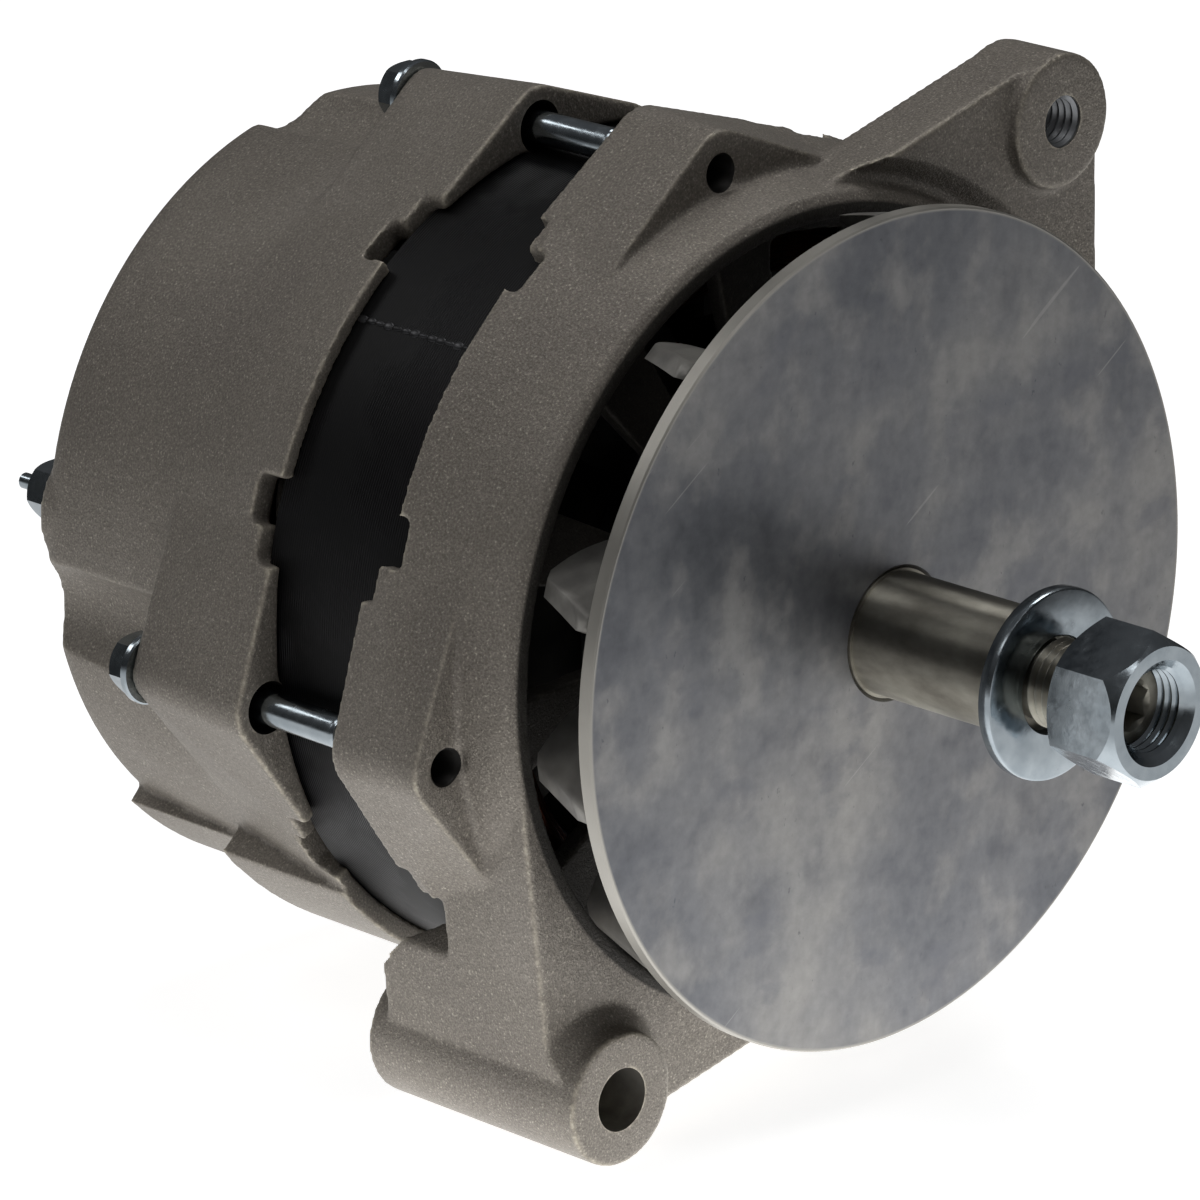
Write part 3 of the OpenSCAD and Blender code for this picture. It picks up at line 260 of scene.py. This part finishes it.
def zinc_plate():
    """Bright zinc plating: mirror-like with a faint blue cast and tiny handling marks."""
    mat, tree, bsdf, place = start("bright_zinc_plated_steel", Metallic=1.0)
    base = add(tree, "ValToRGB", [spots(tree, place, 5, 4)], stops=[(0.3, "#8a9399"), (0.7, "#a1a9ae")])
    rough = add(tree, "MapRange", [spots(tree, place, 2.2, 4, 0.6), 0.35, 0.75, 0.12, 0.3])
    dress(tree, bsdf, base, spots(tree, place, 1.6, 3), 0.03, 0.5, Roughness=rough)
    return mat


def plain_metal(name, low, high, rough, size_mm=6, metallic=1.0, pit=0.03):
    """A metal with a soft cloud of two tones and a fine grain."""
    mat, tree, bsdf, place = start(name, Metallic=metallic, Roughness=rough)
    base = add(tree, "ValToRGB", [spots(tree, place, size_mm, 4)], stops=[(0.3, low), (0.7, high)])
    dress(tree, bsdf, base, spots(tree, place, 0.6, 3), pit, 0.6)
    return mat


def moulded(name, low, high, rough):
    """Moulded plastic or rubber: two close tones and a fine spark-eroded grain."""
    mat, tree, bsdf, place = start(name, Metallic=0.0, Roughness=rough)
    base = add(tree, "ValToRGB", [spots(tree, place, 9, 3)], stops=[(0.3, low), (0.7, high)])
    dress(tree, bsdf, base, spots(tree, place, 0.35, 2), 0.02, 0.5)
    return mat


def copper_wire():
    """Enamelled copper wire, laid side by side, its amber varnish glossy; its tones are darkened as painted
    shade for its place deep inside the frame.
    """
    mat, tree, bsdf, place = start("enamelled_copper_wire_with_painted_shade", Metallic=0.7, Roughness=0.3)
    # Partly the copper's own colour, partly painted shade: both tones are darkened for the shade inside the
    # frame.
    base = add(tree, "ValToRGB", [spots(tree, place, 8, 3)], stops=[(0.3, "#3a1c10"), (0.7, "#5e3019")])
    dress(tree, bsdf, base, waves(tree, radius(tree, place), WIRE_PITCH), 0.3, 0.8)
    return mat


finishes = {
    "frame_casting": blasted_casting(),
    "lamination_steel": laminations(),
    "copper_wire": copper_wire(),
    "zinc_steel": zinc_plate(),
    "bare_steel": plain_metal("cold_rolled_steel", "#85878a", "#a2a4a6", 0.4),
    "bearing_steel": plain_metal("ground_bearing_steel", "#b5b7b9", "#cdcfd0", 0.15),
    "brass_cage": plain_metal("pressed_brass", "#9c7f3e", "#bd9a55", 0.3),
    "black_rubber": moulded("nitrile_rubber_seal", "#141414", "#1d1d1d", 0.7),
    "turned_steel": turned_steel(),
    "pole_steel": plain_metal("forged_pole_steel", "#3c3b39", "#565450", 0.55, 10, 0.8, 0.1),
    "nylon": moulded("natural_nylon_moulding", "#cfc8b4", "#ddd7c6", 0.5),
    "black_moulding": moulded("black_phenolic_moulding", "#171718", "#232324", 0.45),
    "copper_ring": plain_metal("polished_copper_ring", "#a9683d", "#c98552", 0.22),
    "fan_metal": stained_plate(),
    "carbon": moulded("pressed_carbon_brush", "#222020", "#2f2d2d", 0.6),
    "plate_aluminium": plain_metal("mill_finish_aluminium_plate", "#9a9d9f", "#b6b8ba", 0.4),
    "diode_metal": plain_metal("nickel_plated_can", "#77797b", "#98999a", 0.3),
}
weld_metal = plain_metal("varnished_weld_bead", "#1d1d1e", "#48484a", 0.4, 3, 0.7)
# Painted shade: the walls of the ear, bolt and stud holes are coloured near black for the shade deep inside
# them.
shaded_hole_wall = plain_metal("painted_shade_hole_wall", "#191817", "#2a2826", 0.5, 3, 0.6)
machined_face = plain_metal("machined_cast_aluminium", "#8f8b83", "#b4b0a8", 0.35, 4, 0.8, 0.06)
for part in frame["record"]["subparts"]:
    mesh = nodes[part["node"]].data
    mesh.materials.clear()
    mesh.materials.append(finishes[part["material_slot"]])


# Modelling by hand

def pick(*pieces):
    """Selects only these pieces; the last is active."""
    bpy.ops.object.select_all(action="DESELECT")
    for piece in pieces:
        piece.select_set(True)
        bpy.context.view_layer.objects.active = piece


def turned(name, rings, segments=96, at=(0, 0), loop=False):
    """A turned piece: a circle drawn out along the shaft, one ring for each (station, radius) in mm."""
    bpy.ops.object.select_all(action="DESELECT")
    y, r = rings[0]
    bpy.ops.mesh.primitive_circle_add(vertices=segments, radius=r * MM, fill_type="NOTHING",
                                      location=(at[0] * MM, y * MM, at[1] * MM), rotation=(math.pi / 2, 0, 0))
    piece = bpy.context.object
    piece.name = name
    bpy.ops.object.transform_apply(location=True, rotation=True, scale=True)
    bpy.ops.object.mode_set(mode="EDIT")
    bpy.ops.mesh.select_all(action="SELECT")
    for next_y, next_r in rings[1:]:
        bpy.ops.mesh.extrude_region_move(TRANSFORM_OT_translate={"value": (0, (next_y - y) * MM, 0)})
        bpy.ops.transform.resize(value=(next_r / r, 1, next_r / r),
                                 center_override=(at[0] * MM, next_y * MM, at[1] * MM))
        y, r = next_y, next_r
    bpy.ops.mesh.select_all(action="SELECT")
    if loop:
        bpy.ops.mesh.remove_doubles(threshold=1e-6)
    else:
        bpy.ops.mesh.fill_holes(sides=0)
        bpy.ops.mesh.select_all(action="SELECT")
    bpy.ops.mesh.normals_make_consistent(inside=False)
    bpy.ops.object.mode_set(mode="OBJECT")
    return piece


def hexagon(name, across_flats, y0, y1, at=(0, 0), turn=0.0, chamfer=(0.0, 0.0)):
    """A hexagon bar end with its corners turned away, as deep as chamfer says at the front and the rear."""
    corner = across_flats / math.sqrt(3)
    face = across_flats / 2 * 0.97
    bpy.ops.object.select_all(action="DESELECT")
    bpy.ops.mesh.primitive_cylinder_add(vertices=6, radius=corner * MM, depth=(y1 - y0) * MM,
                                        location=(at[0] * MM, (y0 + y1) / 2 * MM, at[1] * MM),
                                        rotation=(math.pi / 2, turn, 0))
    piece = bpy.context.object
    piece.name = name
    bpy.ops.object.transform_apply(location=True, rotation=True, scale=True)
    front, rear = chamfer
    margin = 0.02
    rings = [(y0, face), (y0 + front, corner + margin)] if front else [(y0 - 1, corner + 1)]
    rings += [(y1 - rear, corner + margin), (y1, face)] if rear else [(y1 + 1, corner + 1)]
    carve(piece, turned("turning_tool", rings, 72, at), "INTERSECT")
    return piece


def carve(piece, tool, operation="DIFFERENCE"):
    """Cuts a piece with a tool, which is then gone; the cut faces take the tool's finish."""
    pick(piece)
    step = piece.modifiers.new("carve", "BOOLEAN")
    step.operation = operation
    step.object = tool
    step.solver = "EXACT"
    step.material_mode = "TRANSFER"
    bpy.ops.object.modifier_apply(modifier=step.name)
    bpy.data.objects.remove(tool)


def join(name, *pieces):
    """Joins pieces, where there is more than one, under a new name."""
    pick(*pieces)
    if len(pieces) > 1:
        bpy.ops.object.join()
    piece = bpy.context.object
    piece.name = name
    return piece


def thread(y0, y1, crest, root, pitch):
    """Stations and radii of a screw thread from y0 to y1, drawn as close rings: its lead doesn't show."""
    rings = []
    y = y0
    while y + pitch <= y1 + 1e-6:
        for share, r in ((0.0, root), (0.38, crest), (0.52, crest), (0.9, root)):
            rings.append((y + share * pitch, r))
        y += pitch
    return rings


def copies(piece, places):
    """Copies of a piece drawn on the shaft axis, each with its own mesh, moved to (x, z) in mm and joined."""
    made = []
    for x, z in places:
        other = piece.copy()
        other.data = piece.data.copy()
        other.data.transform(Matrix.Translation((x * MM, 0, z * MM)))
        bpy.context.scene.collection.objects.link(other)
        made.append(other)
    name = piece.name
    bpy.data.objects.remove(piece)
    return join(name, *made)


def finish(piece, slot, body, *stands_for, angle=38):
    """Smooths a piece, gives it the slot's finish and makes it ride on its body in place of its CAD nodes."""
    pick(piece)
    bpy.ops.object.shade_smooth_by_angle(angle=math.radians(angle))
    if not any(piece.data.materials):
        piece.data.materials.clear()
        piece.data.materials.append(finishes[slot])
    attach(piece, body)
    if stands_for:
        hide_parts(*stands_for)


def polar(angle, r):
    """World (x, z) in mm of a point at an angle around the shaft, from +X towards +Z."""
    return r * math.cos(math.radians(angle)), r * math.sin(math.radians(angle))


# Fasteners and shaft

# Where things sit around the shaft, as (x, z).
BOLTS = [polar(angle, 80) for angle in (10, 100, 190, 280)]
STUD = polar(176, 59)
LUG = polar(52.4, 98.2)
PIVOT = polar(235.6, 92.6)
# Stations: the shaft's end, the front of the pulley nose, both faces of nut and washer, the frame's rear.
SHAFT_FRONT = -54.0
NOSE_FRONT = -34.0
NUT_FACES = (-60.3, -45.3)
WASHER_FACES = (-37.1, -34.3)
REAR_FACE = 143.0
# Bolts: their tips and the faces that their heads and washers press, then an M6 thread's radius, that of its
# root, and a hexagon's width across flats.
BOLT_TIP = 36.5
HEAD_FACE = 106.0
WASHER_SEAT = 104.5
M6_RADIUS = 3.0
M6_ROOT = 2.55
M6_FLATS = 10.0
NOSE_RADIUS = 11.1
# The shaft behind the nose: from and to which station, and the radius there.
SHAFT_STEPS = [(0, 14, 11.6), (14, 41, 12.5), (41, 79, 12), (79, 121, 9.5), (121, 133.4, 8.5)]
# How far each hexagon is turned from lying flat, in degrees.
SOCKET_TURN = 8
NUT_TURN = 4
BOLT_TURN = 20


def rotor_shaft():
    """Shaft end as the photograph shows it: plain nose, screw thread and a hexagon socket in the end."""
    crest, root, groove = 7.9, 7.05, 7.1
    rings = [(SHAFT_FRONT, 6.7), (SHAFT_FRONT + 0.8, 7.4)]
    rings += thread(SHAFT_FRONT + 1.4, NOSE_FRONT - 1.4, crest, root, INCH_PITCH)
    rings += [(NOSE_FRONT - 1.2, groove), (NOSE_FRONT, groove)]
    rings += [(NOSE_FRONT, NOSE_RADIUS - 0.7), (NOSE_FRONT + 0.7, NOSE_RADIUS)]
    rings += [(-0.4, NOSE_RADIUS), (0, NOSE_RADIUS)]
    for begin, end, r in SHAFT_STEPS:
        rings += [(begin, r), (end, r)]
    rings.append((end + 0.6, r - 0.6))
    piece = turned("shaft", rings, 128)
    flats, floor = 8, SHAFT_FRONT + 8
    carve(piece, hexagon("socket_tool", flats, SHAFT_FRONT - 1, floor, turn=math.radians(SOCKET_TURN)))
    bell = [(SHAFT_FRONT - 0.5, 5.2), (SHAFT_FRONT + 0.6, 4.1), (SHAFT_FRONT + 2, 3.9)]
    carve(piece, turned("countersink_tool", bell, 48))
    finish(piece, "turned_steel", "rotor", "rotor_shaft")


def pulley_nut():
    """Loose hexagon nut with turned corners, a countersunk mouth and its thread."""
    across_flats, mouth, crest, root = 24, 9.3, 7.25, 7.98
    y0, y1 = NUT_FACES
    piece = hexagon("pulley_nut", across_flats, y0, y1, turn=math.radians(NUT_TURN), chamfer=(3.0, 1.6))
    bore = [(y0 - 0.3, mouth + 0.2), (y0, mouth), (y0 + 1.4, root - 0.03)]
    bore += thread(y0 + 1.3625, y1 - 0.7, crest, root, INCH_PITCH)
    bore += [(y1 - 0.6, root + 0.02), (y1 + 0.1, 9.0), (y1 + 0.3, 9.1)]
    carve(piece, turned("tap_tool", bore, 96))
    finish(piece, "zinc_steel", "rotor", "pulley_nut", angle=25)


def pulley_washer():
    """Plain washer with rounded edges, hanging half a millimetre low on the thread."""
    y0, y1 = WASHER_FACES
    r, bore, sag = 17.0, 8.5, 0.5
    rings = [(y0 + 0.5, r), (y1 - 0.5, r), (y1 - 0.15, r - 0.15), (y1, r - 0.5)]
    rings += [(y1, bore + 0.3), (y1 - 0.3, bore), (y0 + 0.3, bore), (y0, bore + 0.3)]
    rings += [(y0, r - 0.5), (y0 + 0.15, r - 0.15), (y0 + 0.5, r)]
    piece = turned("pulley_washer", rings, 96, (0, -sag), loop=True)
    finish(piece, "zinc_steel", "rotor", "pulley_washer")


def through_bolts():
    """Long bolts: rolled thread at the drive end, plain shank and hexagon head."""
    thread_end, head_height = 56.0, 4.5
    rings = [(BOLT_TIP, 2.4)] + thread(BOLT_TIP + 0.4, thread_end, M6_RADIUS, M6_ROOT, METRIC_PITCH)
    rings += [(thread_end + 0.2, M6_RADIUS - 0.1), (thread_end + 0.6, M6_RADIUS)]
    rings += [(HEAD_FACE + 0.2, M6_RADIUS), (HEAD_FACE + 0.2, 2.0)]
    rod = turned("through_bolts", rings, 40)
    head = hexagon("head", M6_FLATS, HEAD_FACE, HEAD_FACE + head_height, turn=math.radians(BOLT_TURN),
                   chamfer=(0.0, 0.9))
    bolts = copies(join("through_bolts", head, rod), BOLTS)
    finish(bolts, "zinc_steel", "frame", "through_bolts", angle=30)


def bolt_washers():
    """A washer with broken edges under each bolt's head."""
    y0, y1, r, bore = WASHER_SEAT, HEAD_FACE, 6.6, 3.4
    rings = [(y0 + 0.3, r), (y1 - 0.3, r), (y1, r - 0.3), (y1, bore), (y0, bore)]
    rings += [(y0, r - 0.3), (y0 + 0.3, r)]
    washers = copies(turned("bolt_washers", rings, 48, loop=True), BOLTS)
    finish(washers, "zinc_steel", "frame", "bolt_washers")


def output_terminal():
    """Output stud with rolled thread, and its nut."""
    y = REAR_FACE
    rings = [(y - 23, 6.0), (y - 19, 6.0), (y - 19, M6_RADIUS), (y + 5, M6_RADIUS)]
    rings += thread(y + 5.2, y + 14.2, M6_RADIUS, M6_ROOT, METRIC_PITCH)
    rings += [(y + 14.5, 2.4), (y + 14.6, 1.5), (y + 18, 1.5), (y + 18.5, 1.1)]
    finish(turned("output_stud", rings, 40, STUD), "zinc_steel", "frame", "output_stud")
    y0, y1, bore = y + 4.9, y + 11.9, M6_RADIUS + 0.06
    nut = hexagon("terminal_nut", M6_FLATS, y0, y1, STUD, math.radians(BOLT_TURN), (0.9, 0.9))
    tap = [(y0 - 0.4, 3.9), (y0 + 0.7, bore), (y1 - 0.7, bore), (y1 + 0.4, 3.9)]
    carve(nut, turned("tap_tool", tap, 40, STUD))
    finish(nut, "zinc_steel", "frame", "terminal_nut", angle=30)


def lug_thread():
    """Bright tapped thread in the upper lug."""
    y0, y1, crest, root, outside = 17.9, 33.3, 4.05, 4.7, 4.745
    rings = [(y0, root + 0.02)] + thread(y0 + 0.3, y1 - 0.3, crest, root, INCH_PITCH) + [(y1, root + 0.02)]
    rings += [(y1, outside), (y0, outside), (y0, root + 0.02)]
    piece = turned("lug_thread", rings, 64, LUG, loop=True)
    finish(piece, "bare_steel", "frame")


# Castings, fan and weld

# How often a casting's skin is relaxed, and how many triangles it keeps.
RELAX_PASSES = 6
CASTING_TRIANGLES = 180000
# Radii of the machined holes, and the stations of both faces of the drive-end frame's ears, lug and pivot.
BOLT_HOLE = 3.05
LUG_HOLE = 4.75
PIVOT_HOLE = 5.75
STUD_HOLE = 5.1
EAR_FACES = (31.0, 50.0)
LUG_FACES = (17.5, 33.5)
PIVOT_FACES = (13.5, 64.3)
# The weld across the stack: how many beads, the first one's station, their step, and how far the row is
# turned around the shaft, in degrees.
BEADS = 13
FIRST_BEAD = 49.6
BEAD_STEP = 2.15
SEAM_ANGLE = 137.3


def relax(piece, grain_mm):
    """Rebuilds a piece as a fine even skin and relaxes it, which rounds every edge and corner as sand leaves
    them, then thins the flat ground."""
    pick(piece)
    step = piece.modifiers.new("skin", "REMESH")
    step.mode = "VOXEL"
    step.voxel_size = grain_mm * MM
    bpy.ops.object.modifier_apply(modifier=step.name)
    step = piece.modifiers.new("relax", "SMOOTH")
    step.factor = 0.5
    step.iterations = RELAX_PASSES
    bpy.ops.object.modifier_apply(modifier=step.name)
    step = piece.modifiers.new("thin", "DECIMATE")
    step.ratio = min(1.0, CASTING_TRIANGLES / (2 * len(piece.data.polygons)))
    bpy.ops.object.modifier_apply(modifier=step.name)


def rounded_casting(name, node, plugs, grain_mm):
    """A frame's own solid with its edges rounded. Plugs fill its drilled holes, to be drilled again later."""
    piece = nodes[node].copy()
    piece.data = nodes[node].data.copy()
    bpy.context.scene.collection.objects.link(piece)
    piece = join(name, *plugs, piece)
    relax(piece, grain_mm)
    return piece


def machined(piece, finish_left, *tools):
    """Cuts machined holes with turned tools that leave their own finish on the cut."""
    for tool in tools:
        tool.data.materials.clear()
        tool.data.materials.append(finish_left)
        carve(piece, tool)


def plug(r, faces, at, segments=24):
    """Fills a drilled hole up to just under both of its faces."""
    front, rear = faces
    return turned("plug", [(front + 0.1, r), (rear - 0.1, r)], segments, at)


def hole(r, faces, at, beyond=5.0):
    """A drill that passes both faces of a hole by this much."""
    front, rear = faces
    return turned("drill", [(front - beyond, r), (rear + beyond, r)], 48, at)


def countersunk_hole(r, faces, at, chamfer=0.5):
    """A drill that opens at the front face with a chamfer."""
    front, rear = faces
    y = front - chamfer + 0.1
    rings = [(y - 3, r + chamfer), (y, r + chamfer), (y + chamfer, r), (rear + 1, r)]
    return turned("drill", rings, 48, at)


def drive_end_casting():
    """Drive-end frame: its ears, upper lug and pivot lug rounded as cast, their holes machined."""
    plugs = [plug(BOLT_HOLE + 0.35, EAR_FACES, at) for at in BOLTS]
    plugs.append(plug(LUG_HOLE + 0.45, LUG_FACES, LUG, 32))
    plugs.append(plug(PIVOT_HOLE + 0.45, PIVOT_FACES, PIVOT, 32))
    piece = rounded_casting("drive_end_casting", "drive_end_frame", plugs, grain_mm=0.6)
    machined(piece, shaded_hole_wall, *[countersunk_hole(BOLT_HOLE, EAR_FACES, at) for at in BOLTS])
    machined(piece, machined_face, hole(LUG_HOLE, LUG_FACES, LUG), hole(PIVOT_HOLE, PIVOT_FACES, PIVOT))
    finish(piece, "frame_casting", "frame", "drive_end_frame", angle=50)


def rear_casting():
    """Rear frame, rounded as cast, with its drafted bolt holes and the stud's hole machined."""
    front, waist, rear = 74.5, 90.0, WASHER_SEAT
    filling = [(front + 0.2, 5.1), (waist, 4.2), (rear - 0.2, 4.0)]
    plugs = [turned("plug", filling, 24, at) for at in BOLTS]
    piece = rounded_casting("rear_casting", "rear_frame", plugs, grain_mm=0.65)
    draft = [(front - 1.5, 4.9), (front, 4.8), (waist + 0.5, 3.5), (rear + 1.5, 3.5)]
    drills = [turned("drill", draft, 40, at) for at in BOLTS]
    machined(piece, shaded_hole_wall, *drills, hole(STUD_HOLE, (REAR_FACE - 5, REAR_FACE), STUD, 2.0))
    finish(piece, "frame_casting", "frame", "rear_frame", angle=50)


def fan():
    """Front disc turned flat with a crisp rim, and the cast hub and blades behind it, whose covered front
    is cut away with a slab."""
    r, deep, bore = FAN_RADIUS, DISC_THICK, 11.65
    rings = [(0.3, r), (deep - 0.3, r), (deep, r - 0.3), (deep, bore)]
    rings += [(0.6, bore), (0, bore + 0.6), (0, r - 0.3), (0.3, r)]
    disc = turned("fan", rings, 160, loop=True)
    cast = nodes["fan"].copy()
    cast.data = nodes["fan"].data.copy()
    bpy.context.scene.collection.objects.link(cast)
    bpy.ops.object.select_all(action="DESELECT")
    covered, thick, wide = 1.1, 50, 200
    bpy.ops.mesh.primitive_cube_add(size=1, location=(0, (covered - thick / 2) * MM, 0),
                                    scale=(wide * MM, thick * MM, wide * MM))
    slab = bpy.context.object
    bpy.ops.object.transform_apply(location=True, rotation=True, scale=True)
    carve(cast, slab)
    cast.name = "fan_blades"
    cast.data.materials.clear()
    finish(cast, "fan_metal", "rotor", angle=30)
    finish(disc, "fan_metal", "rotor", "fan", angle=30)


def weld_seam():
    """A weld across the lamination stack: a row of small overlapping beads."""
    bpy.ops.object.select_all(action="DESELECT")
    beads = []
    for k in range(BEADS):
        y = FIRST_BEAD + BEAD_STEP * k
        high, long, wide = 0.34, 1.25, 0.65 + 0.2 * math.sin(2.3 * k)
        bpy.ops.mesh.primitive_uv_sphere_add(segments=16, ring_count=8, radius=1 * MM,
                                             location=(STACK_RADIUS * MM, y * MM, 0),
                                             scale=(high, long, wide))
        beads.append(bpy.context.object)
    seam = join("weld_seam", *beads)
    bpy.ops.object.transform_apply(location=True, rotation=True, scale=True)
    bpy.context.scene.cursor.location = (0, 0, 0)
    bpy.ops.object.origin_set(type="ORIGIN_CURSOR")
    pick(seam)
    bpy.ops.object.mode_set(mode="EDIT")
    bpy.ops.mesh.select_all(action="SELECT")
    bpy.ops.transform.rotate(value=math.radians(SEAM_ANGLE), orient_axis="Y", center_override=(0, 0, 0))
    bpy.ops.object.mode_set(mode="OBJECT")
    seam.data.materials.append(weld_metal)
    finish(seam, "lamination_steel", "frame")


# Camera, floor and light

# The light table's glow: from full to nothing between two distances in metres, and its strength.
TABLE_GLOW = [(0.05, 0.22, 1.0), (0.4, 0.9, 0.6)]
# The floor's glow where the camera looks, which with the lamps' light on it comes out white.
WHITE_GLOW = 0.86
# What metals see of the white background: little, as the photographed ones mirror dark surroundings.
GLOSSY_SHARE = 0.04
# The floor's width and how far below the part it lies, in metres.
FLOOR_WIDTH = 24
FLOOR_GAP = 0.0005
# The photo's focal length and width in its own pixels, and the camera's place in metres.
FOCAL_PX = 7683.9
WIDTH_PX = 1200.0
CAMERA_PLACE = (-0.93978, -0.85141, 0.40708)


def place_camera():
    """The photograph's own viewpoint, solved from the bolt circle, the fan's rim and the shaft."""
    right = Vector((0.70371, -0.71037, 0.01309))
    down = Vector((-0.20598, -0.22162, -0.95313))
    ahead = Vector((0.67997, 0.66803, -0.30228))
    turn = Matrix((right, -down, -ahead)).transposed()
    data = bpy.data.cameras.new("camera")
    data.sensor_width = 36.0
    data.lens = FOCAL_PX * data.sensor_width / WIDTH_PX
    data.clip_end = 50.0
    cam = bpy.data.objects.new("camera", data)
    cam.matrix_world = Matrix.Translation(CAMERA_PLACE) @ turn.to_4x4()
    bpy.context.scene.collection.objects.link(cam)
    bpy.context.scene.camera = cam


def background_seen(tree):
    """How much of the white background a ray sees: all for the camera and through glass, little in metal."""
    path = add(tree, "LightPath").node.outputs
    seen = add(tree, "Math", [path["Is Camera Ray"], path["Is Transmission Ray"]], operation="MAXIMUM")
    metal = add(tree, "Math", [path["Is Glossy Ray"], GLOSSY_SHARE], operation="MULTIPLY")
    return add(tree, "Math", [seen, metal], operation="MAXIMUM")


def pale_floor():
    """A white light table: it glows most near the object, and the camera sees it as white all over."""
    bpy.ops.mesh.primitive_plane_add(size=FLOOR_WIDTH, location=(0, 0, cad_low.z - FLOOR_GAP))
    floor = bpy.context.object
    floor.name = "floor"
    mat = bpy.data.materials.new("pale_studio_floor")
    mat.use_nodes = True
    tree = mat.node_tree
    tree.nodes.clear()
    away = add(tree, "VectorMath", [add(tree, "TexCoord", out="Object")], out="Value", operation="LENGTH")
    pools = [add(tree, "MapRange", [away, near, far, power, 0.0], interpolation_type="SMOOTHSTEP")
             for near, far, power in TABLE_GLOW]
    glow = add(tree, "Math", pools, operation="ADD")
    glow = add(tree, "Mix", {0: background_seen(tree), 2: glow, 3: WHITE_GLOW}, data_type="FLOAT")
    diffuse = add(tree, "BsdfDiffuse", {"Color": "#cbcbcb"})
    light = add(tree, "Emission", {"Color": "#ffffff", "Strength": glow})
    add(tree, "OutputMaterial", {"Surface": add(tree, "AddShader", [diffuse, light])})
    floor.data.materials.append(mat)


def studio_world():
    """A soft sky, dark at the horizon and grey overhead; white where the camera looks."""
    world = bpy.data.worlds.new("studio")
    bpy.context.scene.world = world
    world.use_nodes = True
    tree = world.node_tree
    tree.nodes.clear()
    height = add(tree, "SeparateXYZ", [add(tree, "TexCoord", out="Generated")], out="Z")
    sky = add(tree, "ValToRGB", [add(tree, "MapRange", [height, -0.2, 0.9])],
              stops=[(0.0, "#101010"), (0.35, "#161616"), (1.0, "#555557")])
    light = add(tree, "Background", {"Color": sky, "Strength": 1.0})
    white = add(tree, "Background", {"Color": "#ffffff", "Strength": 1.0})
    mix = add(tree, "MixShader", [background_seen(tree), light, white])
    add(tree, "OutputWorld", {"Surface": mix})


def softbox(name, place, size, power):
    """A square soft lamp that faces the object; size in metres, power in watts."""
    data = bpy.data.lights.new(name, "AREA")
    data.shape = "SQUARE"
    data.size = size
    data.energy = power
    lamp = bpy.data.objects.new(name, data)
    lamp.location = place
    lamp.rotation_euler = (Vector((0, 0.05, 0)) - Vector(place)).to_track_quat("-Z", "Y").to_euler()
    bpy.context.scene.collection.objects.link(lamp)


drive_end_casting()
rear_casting()
fan()
weld_seam()
rotor_shaft()
pulley_nut()
pulley_washer()
through_bolts()
bolt_washers()
output_terminal()
lug_thread()
place_camera()
pale_floor()
studio_world()
softbox("rear_top_softbox", (-0.7, 1.35, 1.35), 0.6, 4.4)
softbox("front_top_softbox", (-0.35, -0.6, 1.75), 0.8, 6.0)
softbox("left_softbox", (-1.3, 0.2, 1.4), 0.6, 1.4)
softbox("right_top_softbox", (0.8, 0.3, 1.8), 0.7, 8.0)
bpy.context.scene.view_settings.view_transform = "Standard"
